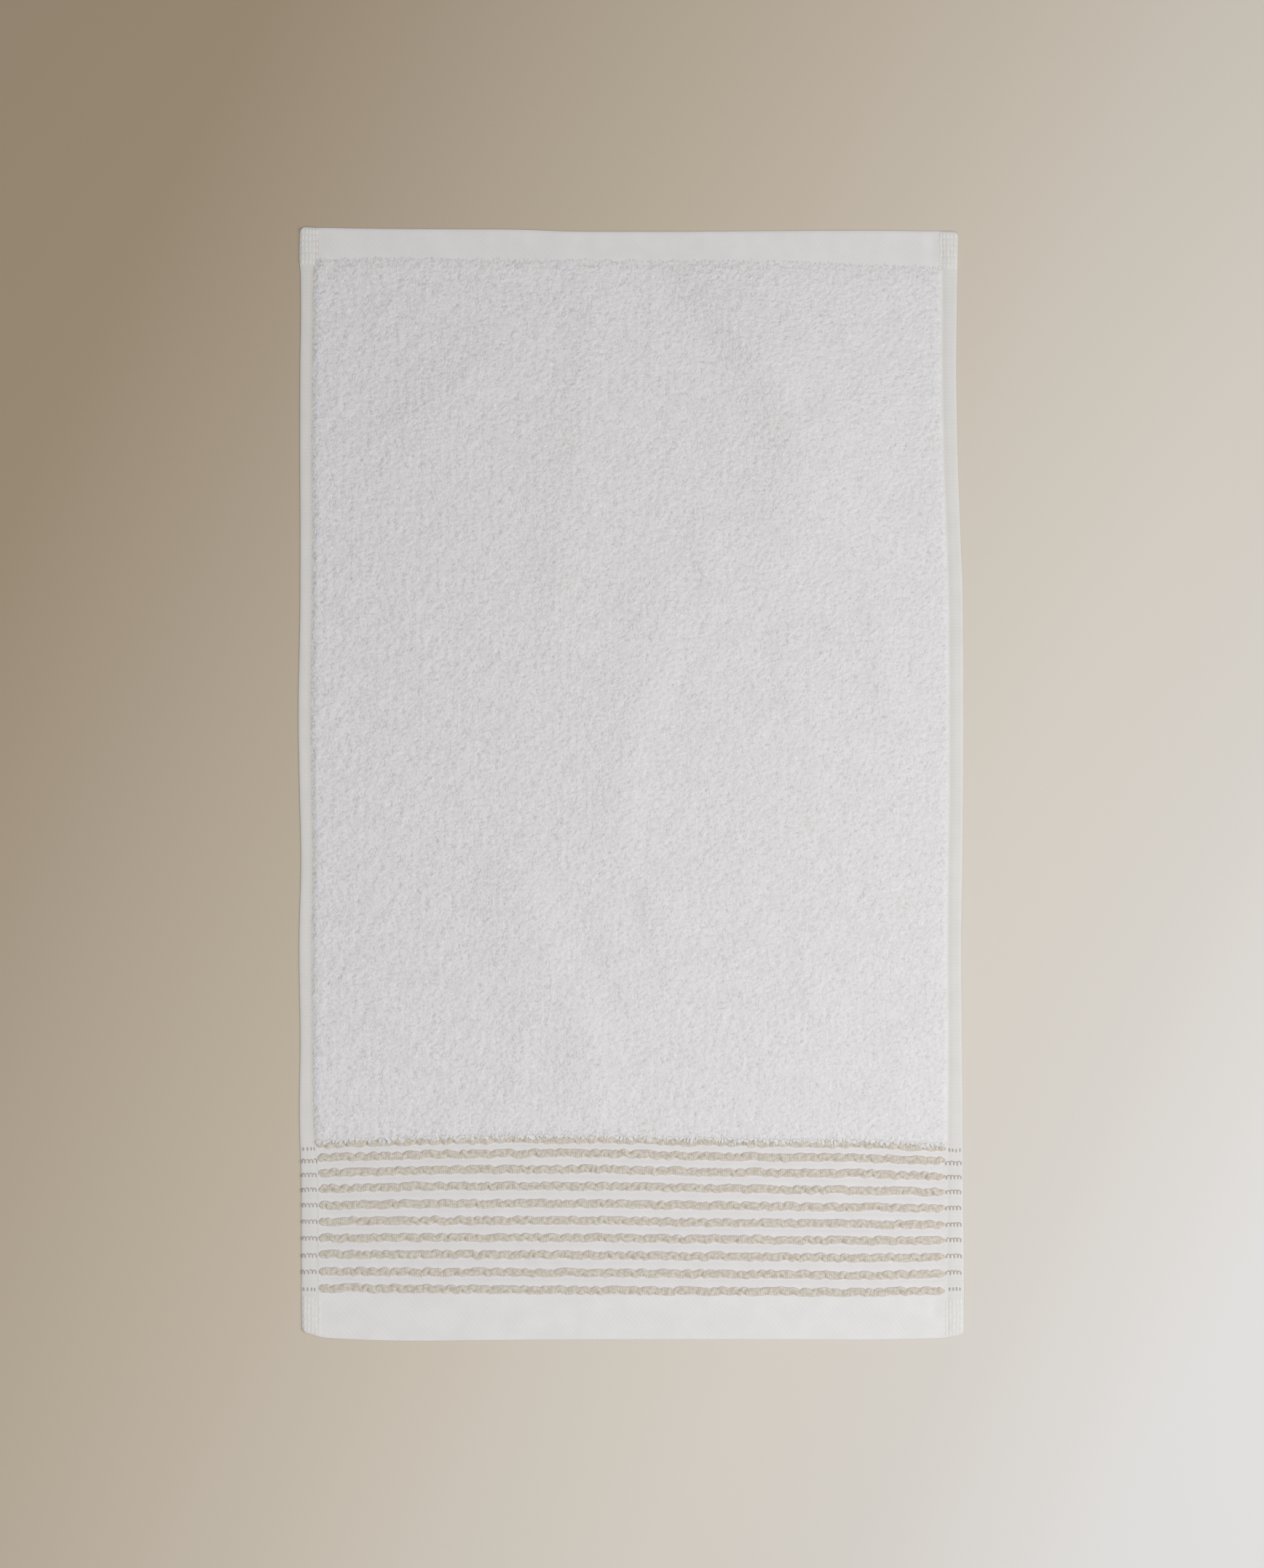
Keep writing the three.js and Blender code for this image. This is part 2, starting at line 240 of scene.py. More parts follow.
# %% Describe the height of the cloth
EDGE_HEIGHT = 0.35 * MM
EDGE_ROLL = 2.2 * MM
HEM_HEIGHT = 1.4 * MM
HEM_CROWN = 0.12 * MM
END_HEM_RISE = 0.5 * MM
SEAM_DEPTH = 0.20 * MM
SEAM_WIDTH = 1.5 * MM
SEAM_SHIFT = 0.7 * MM
SEAM_START, SEAM_GROWTH = 1.5 * MM, 4 * MM
END_HEM_SLOPE = 5 * MM
GROUND_HEIGHT = 2.2 * MM
GROUND_SLOPE = 3.4 * MM
GROUND_WAVE, GROUND_WAVELENGTH = 0.10 * MM, 7 * MM
BORDER_HEIGHT = 1.0 * MM
STRIPE_PUFF, PUFF_SLOPE = 0.35 * MM, 2.2 * MM
RIB_WIDTH = 5.6 * MM
RIB_HEIGHT = 2.2 * MM
RIB_COVERED = 2.5 * MM
CORNER_LIFT, CORNER_SLOPE = 0.2 * MM, 2 * MM

# Soft creases of the field: how high the crest stands, or how high at each place, how wide its slopes are to
# the left and right of it, and the places that it passes from top to bottom
CREASES = [
    dict(crest=[0.4, 2.3, 4.0, 3.2, 0], left=15, right=28, path=[
        (8, 352), (35, 316), (59, 289), (82, 261), (100, 232),
    ]),
    dict(crest=[0, 2.2, 3.6, 2.8, 1.8, 0], left=25, right=42, path=[
        (66, 292), (94, 252), (104, 222), (104, 190), (100, 160), (94, 112),
    ]),
    dict(crest=0.95, left=12, right=30, path=[(-76, 286), (-98, 262), (-116, 244), (-138, 224), (-160, 206)]),
    dict(crest=0.35, left=3, right=5, path=[(12, 390), (12.5, 290), (12, 230)]),
    dict(crest=0.8, left=12, right=20, path=[(-22, 340), (-26, 262), (-40, 180), (-46, 120), (-47, 60)]),
    dict(crest=0.7, left=6, right=18, path=[(38, 180), (44, 135), (53, 95)]),
    dict(crest=1.2, left=24, right=13, path=[(18, 150), (16, 84), (5, 50), (-4, 14), (-8, -28), (-10, -66)]),
    dict(crest=1.65, left=22, right=14, path=[(-84, -20), (-60, -86), (-45, -118), (-30, -150), (-12, -225)]),
    dict(crest=0.6, left=14, right=8, path=[(-90, -90), (-72, -118), (-58, -140), (-50, -165)]),
    dict(crest=0.6, left=7, right=14, path=[(-28, -66), (-8, -122), (14, -164)]),
    dict(crest=0.8, left=7, right=18, path=[(8, -46), (16, -95), (32, -142)]),
    dict(crest=0.6, left=7, right=18, path=[(86, 104), (104, 26)]),
    dict(crest=0.7, left=7, right=16, path=[(142, 124), (162, 26)]),
    dict(crest=0.5, left=7, right=16, path=[(102, -80), (115, -150)]),
    dict(crest=0.6, left=12, right=20, path=[(166, -140), (160, -210)]),
    dict(crest=0.5, left=6, right=10, path=[(-68, -150), (-74, -210)]),
]
CREASE_FADE = 0.25
CREASE_REACH = 46 * MM
# Dents in the smooth hems: the middle, half the width and length, and the depth
DENTS = [
    dict(across=185.5, along=331, wide=3.8, long=11, depth=0.80),
    dict(across=187.0, along=-323, wide=3.4, long=7, depth=0.65),
    dict(across=-72, along=330, wide=1.6, long=11, depth=0.12),
]


def smooth_step(t):
    """Rises softly from 0 to 1 while t goes from 0 to 1."""
    t = np.clip(t, 0, 1)
    return t * t * (3 - 2 * t)


def hill(distance, width):
    """A soft hill, 1 at its top and near 0 past twice its width."""
    return np.exp(-((distance / width) ** 2))


def drift(x, y, length, seed):
    """A soft random field, mostly from -1 to 1, whose hills are about length apart."""
    random = np.random.default_rng(seed)
    total = np.zeros(np.shape(x))
    for angle, phase, stretch in random.uniform((0, 0, 0.7), (np.pi, 2 * np.pi, 1.4), (10, 3)):
        total += np.sin((x * np.cos(angle) + y * np.sin(angle)) * 2 * np.pi * stretch / length + phase)
    return total / np.sqrt(10)


def crease_height(x, y, crease):
    """How much one crease lifts the cloth. Its slope is steeper on one side of the crest."""
    path = np.array(crease["path"]) * MM
    lengths = np.hypot(*np.diff(path, axis=0).T)
    nearest = np.full(np.shape(x), np.inf)
    signed, passed = np.zeros(np.shape(x)), np.zeros(np.shape(x))
    for k, (start, end) in enumerate(zip(path[:-1], path[1:])):
        way = end - start
        held = np.clip(((x - start[0]) * way[0] + (y - start[1]) * way[1]) / (way @ way), 0, 1)
        dx, dy = x - start[0] - held * way[0], y - start[1] - held * way[1]
        distance = np.hypot(dx, dy)
        closer = distance < nearest
        signed = np.where(closer, np.sign(dy * way[0] - dx * way[1]) * distance, signed)
        passed = np.where(closer, lengths[:k].sum() + held * lengths[k], passed)
        nearest = np.minimum(nearest, distance)
    width = np.where(signed < 0, crease["left"], crease["right"]) * MM
    if isinstance(crease["crest"], list):
        crest = np.interp(passed, np.concatenate([[0], np.cumsum(lengths)]), crease["crest"])
    else:
        share = passed / lengths.sum()
        crest = crease["crest"] * smooth_step(share / CREASE_FADE) * smooth_step((1 - share) / CREASE_FADE)
    return crest * MM * hill(signed, width)


def insets(x, y):
    """How far a place lies inside the side edges, inside the ends and past the side seams, in metres."""
    from_side = np.minimum(x - left_edge(y), right_edge(y) - x)
    from_end = np.minimum(plain_end(x) - y, y - ribbed_end(x))
    past_seam = np.minimum(x - left_seam(y), right_seam(y) - x)
    return from_side, from_end, past_seam


def height_of_cloth(x, y):
    """The height of the cloth's upper side at any place, without its loops, ribs and stitches."""
    from_side, from_end, past_seam = insets(x, y)
    band_top, band_foot = RIB_LINES[0](x) + RIB_WIDTH / 2, RIB_LINES[-1](x) - RIB_WIDTH / 2
    roll = 1 - (1 - np.clip(np.minimum(from_side, from_end) / EDGE_ROLL, 0, 1)) ** 3
    height = EDGE_HEIGHT + (HEM_HEIGHT - EDGE_HEIGHT) * roll

    in_hem = np.clip(from_side / np.maximum(from_side - past_seam, MM), 0, 1)
    height += HEM_CROWN * np.sin(np.pi * in_hem)
    in_end_hem = np.clip((plain_end(x) - y) / (plain_end(x) - hem_seam(x)), 0, 1)
    on_end_hem = smooth_step(past_seam / END_HEM_SLOPE) * (y > hem_seam(x))
    height += END_HEM_RISE * smooth_step(in_end_hem) * on_end_hem
    sewn = smooth_step((from_end - SEAM_START) / SEAM_GROWTH)
    height -= SEAM_DEPTH * hill(past_seam + SEAM_SHIFT, SEAM_WIDTH) * sewn

    in_field = np.minimum(past_seam, y - band_top + RIB_COVERED)
    inside = smooth_step(in_field / GROUND_SLOPE)
    below_hem = smooth_step((hem_seam(x) - y) / GROUND_SLOPE)
    ground = GROUND_HEIGHT - HEM_HEIGHT - END_HEM_RISE
    ground = ground + GROUND_WAVE * (1 - 2 * x) * drift(x, 0.45 * y, GROUND_WAVELENGTH, 21)
    height += (END_HEM_RISE + ground * below_hem) * inside * (y <= hem_seam(x))
    lift = sum(crease_height(x, y, crease) for crease in CREASES)
    height += lift * inside * smooth_step((plain_end(x) - y) / CREASE_REACH)

    in_band = np.minimum(np.minimum(past_seam, band_top - y), y - band_foot)
    band = smooth_step(in_band / GROUND_SLOPE)
    from_rib = np.min([np.abs(y - line(x)) for line in RIB_LINES], axis=0)
    puff = smooth_step((from_rib - RIB_WIDTH / 2) / PUFF_SLOPE)
    height += (BORDER_HEIGHT - HEM_HEIGHT + STRIPE_PUFF * puff) * band

    into_corner = np.maximum(y - hem_seam(x), band_foot - y) / CORNER_SLOPE
    height += CORNER_LIFT * smooth_step(1 - past_seam / CORNER_SLOPE) * smooth_step(into_corner) * roll
    for dent in DENTS:
        across, along = x - dent["across"] * MM, y - dent["along"] * MM
        height -= dent["depth"] * MM * hill(across, dent["wide"] * MM) * hill(along, dent["long"] * MM) * roll
    return height


print(f"{len(CREASES)} creases and {len(DENTS)} dents")

# %% [markdown]
# ## Threads as a material
#
# Cotton is matt and never one flat white. Four woven surfaces need their own finish: the side hems, the
# end hems, the fine twill of the white stripes, and the ground of the loops. The colour could be one value,
# but cloth made that way looks like paper. So each material mixes two near whites by a soft noise, and
# draws its threads as a bump, which bends the light without adding faces. Where the threads sink, the
# colour is a little darker, and along the seam's groove it is darker and warmer: both are painted shade.
# The ground of the loops has a grain of bumps and hollows in place of lines, as the loops themselves have.
# It stands for the fluff between them, and for more loops than the model has room for.
#
# Every material here is built by the same few helpers, because a node tree reads best as a short list.

# %% Helpers for materials
def new_material(name, roughness):
    """A material with one Principled shader, ready for more nodes. Returns it, its tree and the shader."""
    material = bpy.data.materials.new(name)
    material.use_nodes = True
    shader = material.node_tree.nodes["Principled BSDF"]
    shader.inputs["Roughness"].default_value = roughness
    shader.inputs["Specular IOR Level"].default_value = 0.25
    return material, material.node_tree, shader


def add_node(tree, kind, **settings):
    """Adds a node. A setting named like an input sets that input, and any other sets a property."""
    node = tree.nodes.new(kind)
    for name, value in settings.items():
        label = name.replace("_", " ").title()
        if label in node.inputs:
            node.inputs[label].default_value = value
        else:
            setattr(node, name, value)
    return node


def noise(tree, size, detail=3.0):
    """A soft noise whose patches are about size metres across. Returns its value socket."""
    place = add_node(tree, "ShaderNodeTexCoord")
    texture = add_node(tree, "ShaderNodeTexNoise", scale=1 / size, detail=detail)
    tree.links.new(place.outputs["Object"], texture.inputs["Vector"])
    return texture.outputs["Fac"]


def grain(tree, size, stretch):
    """A noise whose grains are size metres wide and stretch times as long, along the towel."""
    place = add_node(tree, "ShaderNodeTexCoord")
    drawn_out = add_node(tree, "ShaderNodeMapping", scale=(1.0, 1 / stretch, 1.0))
    texture = add_node(tree, "ShaderNodeTexNoise", scale=1 / size, detail=1.0, roughness=0.6)
    tree.links.new(place.outputs["Object"], drawn_out.inputs["Vector"])
    tree.links.new(drawn_out.outputs["Vector"], texture.inputs["Vector"])
    return texture.outputs["Fac"]


def mix_colours(tree, share, first, second):
    """Mixes two colours or colour sockets by a value socket. Returns the colour socket."""
    mix = add_node(tree, "ShaderNodeMix", data_type="RGBA")
    tree.links.new(share, mix.inputs["Factor"])
    for socket, colour in ((mix.inputs["A"], first), (mix.inputs["B"], second)):
        socket = [s for s in mix.inputs if s.name == socket.name and s.type == "RGBA"][0]
        if isinstance(colour, tuple):
            socket.default_value = (*colour, 1.0)
        else:
            tree.links.new(colour, socket)
    return [s for s in mix.outputs if s.type == "RGBA"][0]


def spread_values(tree, value, low, high, to_low=0.0, to_high=1.0):
    """Maps a value socket's range from low and high onto a new range."""
    node = add_node(tree, "ShaderNodeMapRange")
    for name, number in (("From Min", low), ("From Max", high), ("To Min", to_low), ("To Max", to_high)):
        node.inputs[name].default_value = number
    tree.links.new(value, node.inputs["Value"])
    return node.outputs["Result"]


def waves(tree, pitch, turn, distortion):
    """Straight waves in the plane of the towel, pitch metres apart and turned by an angle in radians."""
    place = add_node(tree, "ShaderNodeTexCoord")
    turned = add_node(tree, "ShaderNodeMapping", rotation=(0, 0, turn))
    texture = add_node(tree, "ShaderNodeTexWave", scale=2 * np.pi / (20 * pitch), distortion=distortion)
    tree.links.new(place.outputs["Object"], turned.inputs["Vector"])
    tree.links.new(turned.outputs["Vector"], texture.inputs["Vector"])
    return texture.outputs["Fac"]


def add_bump(tree, shader, height, distance):
    """Bends the light as if the surface stood distance metres higher where height is 1."""
    bump = add_node(tree, "ShaderNodeBump", distance=distance)
    tree.links.new(height, bump.inputs["Height"])
    tree.links.new(bump.outputs["Normal"], shader.inputs["Normal"])


# The range that most of a noise's values lie in
NOISE_RANGE = (0.35, 0.65)
print("helpers ready")

# %% Cotton for the hems, the stripes and the ground
def woven_cotton(name, first, second, threads, relief, sunk_shade):
    """White cotton of uneven tone, threads drawn by a function, and a seam groove of warm painted shade."""
    material, tree, shader = new_material(name, 0.9)
    cloudy = spread_values(tree, noise(tree, CLOUD_SIZE), *NOISE_RANGE)
    lines = threads(tree)
    groove = add_node(tree, "ShaderNodeAttribute", attribute_name="groove").outputs["Fac"]
    # The seam's groove gets painted shade, a darker and warmer tint
    warm = tuple(value * share for value, share in zip(first, GROOVE_SHADE_TINT))
    shade = mix_colours(tree, groove, mix_colours(tree, cloudy, first, second), warm)
    scale = add_node(tree, "ShaderNodeVectorMath", operation="SCALE")
    tree.links.new(shade, scale.inputs[0])
    # Painted shade: the colour is a little darker where the threads' bump sinks
    tree.links.new(spread_values(tree, lines, 0, 1, 1 - sunk_shade, 1.0), scale.inputs["Scale"])
    tree.links.new(scale.outputs["Vector"], shader.inputs["Base Color"])
    add_bump(tree, shader, lines, relief)
    return material


def twill(tree):
    """The slanting lines of a twill weave."""
    return waves(tree, WEAVE_PITCH, TWILL_SLANT, distortion=4.0)


CLOUD_SIZE = 14 * MM
WEAVE_PITCH = 2.2 * MM
TWILL_SLANT = -0.75
# How high the twill's bump stands, and how much painted shade darkens its sunk lines
TWILL_RELIEF, TWILL_SUNK_SHADE = 0.035 * MM, 0.02
# The painted shade in the seam's groove, as a factor on the cloth's colour
GROOVE_SHADE_TINT = (0.93, 0.90, 0.86)
GRAIN = (3.2 * MM, 0.85)
GRAIN_RELIEF = 0.8 * MM
# Painted shade in the grain's hollows: the range of the grain that it fades over, and its tint
HOLLOW = (0.25, 0.5)
HOLLOW_SHADE_TINT = (0.88, 0.87, 0.84)
hem_cotton = woven_cotton(
    "hem_cotton", (0.768, 0.752, 0.730), (0.797, 0.780, 0.761),
    lambda tree: waves(tree, WEAVE_PITCH, np.pi / 2, distortion=1.5), relief=0.024 * MM, sunk_shade=0.015,
)
# The stripes' twill is the end hems' twill made about 3 percent darker: painted shade between the raised ribs
shaded_stripe_twill = woven_cotton(
    "shaded_stripe_twill", (0.792, 0.775, 0.772), (0.821, 0.804, 0.804),
    twill, relief=TWILL_RELIEF, sunk_shade=TWILL_SUNK_SHADE,
)
end_twill = woven_cotton(
    "end_twill", (0.818, 0.800, 0.797), (0.848, 0.830, 0.830),
    twill, relief=TWILL_RELIEF, sunk_shade=TWILL_SUNK_SHADE,
)
loop_ground = woven_cotton(
    "loop_ground", (0.80, 0.786, 0.79), (0.84, 0.826, 0.834),
    lambda tree: grain(tree, *GRAIN), relief=GRAIN_RELIEF, sunk_shade=0.03,
)
print("four woven cottons")

# %% [markdown]
# ## The sheet of cloth
#
# The real towel is cut from a longer web, and its four sides are turned under and sewn. That makes one sheet
# with a thick rim. A subdivided plane with a Solidify modifier would give it thickness, but no round edges
# and no say in where its vertices lie. Here the grid's rows and columns follow the towel's own lines. They
# crowd together at a fold, a seam or a stripe, and spread out over the field, where loops will hide them.
#
# A row crosses a column where both lines agree. As both are nearly straight, a few turns of asking one line
# for y and the other for x settle the place. The underside repeats only some of the columns, which is enough
# for a face that nobody sees.
#
# A folded edge casts a thin shadow, so the wall of the sheet leans in under its rim. The rim is marked as a
# sharp edge, because shading smoothed across it would draw a dark line. Close to it the normals are turned
# part of the way up, as light that passes through cotton makes a fold look softer than a hard surface.

# %% Set out the rows and columns of the sheet
EDGE_STEPS = np.array([0.0, 0.1, 0.35, 0.8, 1.4]) * MM
SEAM_STEPS = np.array([-0.9, -0.45, 0.0, 0.5, 1.1, 1.8]) * MM
HEM_COLUMNS, FIELD_COLUMNS = 9, 190
HEM_ROWS, FIELD_ROWS, STRIPE_ROWS = 14, 132, 6
CROSSING_TURNS = 4


def beside(line, steps):
    """Stations that keep given distances from one line."""
    return [(line, line, 0.0, step) for step in steps]


def between(first, first_step, second, second_step, count):
    """Evenly spread stations between two lines, each moved by a step first."""
    shares = (np.arange(count) + 1) / (count + 1)
    return [(first, second, share, (1 - share) * first_step + share * second_step) for share in shares]


COLUMN_LINES = [left_edge, left_seam, right_seam, right_edge]
LEFT, LEFT_SEAM, RIGHT_SEAM, RIGHT = range(4)
columns = (
    beside(LEFT, EDGE_STEPS)
    + between(LEFT, EDGE_STEPS[-1], LEFT_SEAM, SEAM_STEPS[0], HEM_COLUMNS)
    + beside(LEFT_SEAM, SEAM_STEPS)
    + between(LEFT_SEAM, SEAM_STEPS[-1], RIGHT_SEAM, -SEAM_STEPS[-1], FIELD_COLUMNS)
    + beside(RIGHT_SEAM, -SEAM_STEPS[::-1])
    + between(RIGHT_SEAM, -SEAM_STEPS[0], RIGHT, -EDGE_STEPS[-1], HEM_COLUMNS)
    + beside(RIGHT, -EDGE_STEPS[::-1])
)

ROW_LINES = [plain_end, hem_seam, *RIB_LINES, ribbed_end]
PLAIN_END, HEM_SEAM, FIRST_RIB, LAST_RIB, RIBBED_END = 0, 1, 2, 1 + len(RIB_LINES), 2 + len(RIB_LINES)
FIELD_FOOT = RIB_WIDTH / 2 + 1.2 * MM
rows = (
    beside(PLAIN_END, -EDGE_STEPS)
    + between(PLAIN_END, -EDGE_STEPS[-1], HEM_SEAM, -SEAM_STEPS[0], HEM_ROWS)
    + beside(HEM_SEAM, -SEAM_STEPS)
    + between(HEM_SEAM, -SEAM_STEPS[-1], FIRST_RIB, FIELD_FOOT, FIELD_ROWS)
)
for rib in range(FIRST_RIB, LAST_RIB + 1):
    rows += beside(rib, np.array([0.5, 0.25, -0.25, -0.5]) * RIB_WIDTH)
    if rib < LAST_RIB:
        rows += between(rib, -RIB_WIDTH / 2, rib + 1, RIB_WIDTH / 2, STRIPE_ROWS)
rows += between(LAST_RIB, -RIB_WIDTH / 2, RIBBED_END, EDGE_STEPS[-1], HEM_ROWS)
rows += beside(RIBBED_END, EDGE_STEPS[::-1])
print(len(rows), "rows and", len(columns), "columns")

# %% Find where every row crosses every column
def follow(stations, lines, at, by_row):
    """Where each station's own line runs at the given places, for the whole grid at once."""
    along = np.stack([line(at) for line in lines])
    first, second = (np.array([station[k] for station in stations]) for k in (0, 1))
    share, step = (np.array([station[k] for station in stations]) for k in (2, 3))
    row, column = np.indices(at.shape)
    own = row if by_row else column
    starts, ends = along[first[own], row, column], along[second[own], row, column]
    return starts + (ends - starts) * share[own] + step[own]


grid_x = np.zeros((len(rows), len(columns)))
for turn in range(CROSSING_TURNS):
    grid_y = follow(rows, ROW_LINES, grid_x, by_row=True)
    grid_x = follow(columns, COLUMN_LINES, grid_y, by_row=False)
grid_z = height_of_cloth(grid_x, grid_y)

# The cloth turns each corner in a small round
CORNER_ROUND = 3.2 * MM
from_side, from_end, _ = insets(grid_x, grid_y)
across, along = (np.clip(1 - gap / CORNER_ROUND, 0, 1) for gap in (from_side, from_end))
grid_x -= np.sign(grid_x) * CORNER_ROUND * across * (1 - np.sqrt(1 - along**2 / 2))
grid_y -= np.sign(grid_y) * CORNER_ROUND * along * (1 - np.sqrt(1 - across**2 / 2))
print(f"the upper side stands {grid_z.min() * 1000:.2f} to {grid_z.max() * 1000:.2f} mm high")

# %% Make the sheet
BACK_EDGE_HEIGHT = 0.15 * MM
BACK_ROLL = 1.4 * MM
UNDERCUT = 0.7 * MM
BACK_GROOVE = 0.35 * MM
GROOVE_WIDTH = 1.9 * MM
# How strong the painted shade is in the left and in the right seam's groove
LEFT_GROOVE_SHADE, RIGHT_GROOVE_SHADE = 0.6, 0.2
BACK_COLUMNS = 10


def new_piece(name, points, faces, materials):
    """Makes a smooth mesh object from points and faces, which rides on the towel's one body."""
    mesh = bpy.data.meshes.new(name)
    mesh.from_pydata(points, [], faces)
    mesh.shade_smooth()
    for material in materials:
        mesh.materials.append(material)
    piece = bpy.data.objects.new(name, mesh)
    bpy.context.scene.collection.objects.link(piece)
    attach(piece, "root")
    mesh.calc_loop_triangles()
    print(f"{name}: {len(mesh.vertices)} vertices, {len(mesh.loop_triangles)} triangles")
    return piece


def grid_faces(number):
    """The four-cornered faces between neighbours in a grid of vertex numbers."""
    corners = [number[:-1, :-1], number[1:, :-1], number[1:, 1:], number[:-1, 1:]]
    return np.stack(corners, axis=-1).reshape(-1, 4)


def mark_points(piece, name, values):
    """Stores one number for each vertex, which a material can read by its name."""
    marks = piece.data.attributes.new(name, "FLOAT", "POINT")
    marks.data.foreach_set("value", np.asarray(values, np.float32))


def soften(piece, share, facing=(0.0, 0.0, 1.0)):
    """Turns every normal part of the way to a facing. Cotton lets light through, so its shading is soft."""
    normals = np.zeros(len(piece.data.vertices) * 3)
    piece.data.vertices.foreach_get("normal", normals)
    normals = (1 - share) * normals.reshape(-1, 3) + share * np.array(facing)
    normals /= np.linalg.norm(normals, axis=1, keepdims=True)
    piece.data.normals_split_custom_set_from_vertices(normals)


# The columns that the underside repeats: a few at the edge and at the seam, and every tenth between the seams
seam_column = len(EDGE_STEPS) + HEM_COLUMNS
back = [0, 2, 3, seam_column, seam_column + 2, seam_column + 4]
back += list(range(seam_column + 16, len(columns) // 2, BACK_COLUMNS))
back += [len(columns) - 1 - column for column in reversed(back)]
from_rim = np.minimum(from_side, from_end)
past_seam = insets(grid_x, grid_y)[2]
back_z = BACK_EDGE_HEIGHT * np.clip(1 - from_rim[:, back] / BACK_ROLL, 0, 1) ** 2
back_z += BACK_GROOVE * hill(past_seam[:, back], SEAM_WIDTH)
upper = np.stack([grid_x, grid_y, grid_z], axis=-1)
push_x, push_y = (UNDERCUT * np.clip(1 - gap[:, back] / BACK_ROLL, 0, 1) for gap in (from_side, from_end))
back_x = grid_x[:, back] - np.sign(grid_x[:, back]) * push_x
back_y = grid_y[:, back] - np.sign(grid_y[:, back]) * push_y
lower = np.stack([back_x, back_y, back_z], axis=-1)
points = np.concatenate([upper.reshape(-1, 3), lower.reshape(-1, 3)])

top = np.arange(upper[..., 0].size).reshape(grid_x.shape)
under = top.size + np.arange(back_z.size).reshape(back_z.shape)
quads = [
    grid_faces(top),
    grid_faces(under)[:, [0, 3, 2, 1]],
    np.stack([top[:-1, 0], under[:-1, 0], under[1:, 0], top[1:, 0]], axis=-1),
    np.stack([top[:-1, -1], top[1:, -1], under[1:, -1], under[:-1, -1]], axis=-1),
]
faces = np.concatenate(quads).tolist()
for k in range(len(back) - 1):
    span = list(range(back[k], back[k + 1] + 1))
    faces.append([*top[0, span], under[0, k + 1], under[0, k]])
    faces.append([*top[-1, span[::-1]], under[-1, k], under[-1, k + 1]])

weaves = [hem_cotton, shaded_stripe_twill, loop_ground, end_twill]
cloth = new_piece("towel_cloth", points, faces, weaves)
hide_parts("terry_towel")
on_rim = np.zeros(len(cloth.data.vertices), bool)
on_rim[np.concatenate([top[0], top[-1], top[:, 0], top[:, -1]])] = True
ends = np.zeros(len(cloth.data.edges) * 2, np.int32)
cloth.data.edges.foreach_get("vertices", ends)
sharp = on_rim[ends.reshape(-1, 2)].all(axis=1)
cloth.data.attributes.new("sharp_edge", "BOOLEAN", "EDGE").data.foreach_set("value", sharp)
# The seam's groove gets painted shade, stronger beside the left seam than the right, and only above the ribs
groove = hill(past_seam + SEAM_SHIFT, GROOVE_WIDTH) * np.where(grid_x > 0, RIGHT_GROOVE_SHADE, LEFT_GROOVE_SHADE)
groove = groove * (grid_y > RIB_LINES[0](grid_x))
mark_points(cloth, "groove", np.concatenate([groove.ravel(), np.zeros(back_z.size)]))

# %% Give each part of the sheet its own weave
# The places of the four weaves in the list of the sheet's materials
SIDE_HEMS, STRIPES, LOOPED_GROUND, END_HEMS = range(4)
RIM_SOFTNESS = 0.7
RIM_REACH = 3.5 * MM
centres = np.zeros(len(cloth.data.polygons) * 3)
cloth.data.polygons.foreach_get("center", centres)
x, y = centres.reshape(-1, 3)[:, :2].T
inside = insets(x, y)[2] > 0
border = inside & (y < RIB_LINES[0](x) + RIB_WIDTH / 2) & (y > RIB_LINES[-1](x) - RIB_WIDTH / 2)
field = inside & (y < hem_seam(x)) & (y >= RIB_LINES[0](x) + RIB_WIDTH / 2)
ends = inside & ~border & ~field
weave = np.select([field, border, ends], [LOOPED_GROUND, STRIPES, END_HEMS], SIDE_HEMS)
cloth.data.polygons.foreach_set("material_index", weave.astype(np.int32))
print("faces of side hems, stripes, looped ground and end hems:", np.bincount(weave).tolist())
near_rim = RIM_SOFTNESS * np.clip(1 - from_rim / RIM_REACH, 0, 1)
soften(cloth, np.concatenate([near_rim.ravel(), np.zeros(back_z.size)])[:, None])

# %% [markdown]
# ## Loops
#
# Terry is woven with a second, slack set of warp threads. Each time the reed beats the weft home, the slack
# threads stand up as loops, one every two millimetres or so. Washing then tips them over in all directions,
# and neighbours lean the same way, which gives the field its drifting, mossy look.
#
# Hair particles or a displaced texture would be quick, but hair has no loops, and a texture goes flat when it
# is seen from the side. So each loop here is a short bent strand of four points, with a ring of three
# vertices round each of its two middle points. It rises from the cloth, leans over and goes back in. That
# is twelve triangles a loop, and NumPy makes all of them at once. The yarn's colour is a little darker at a
# strand's two ends, which are sunk in the cloth, as painted shade, and each loop has a random tone. The
# loops lie flatter towards the right.

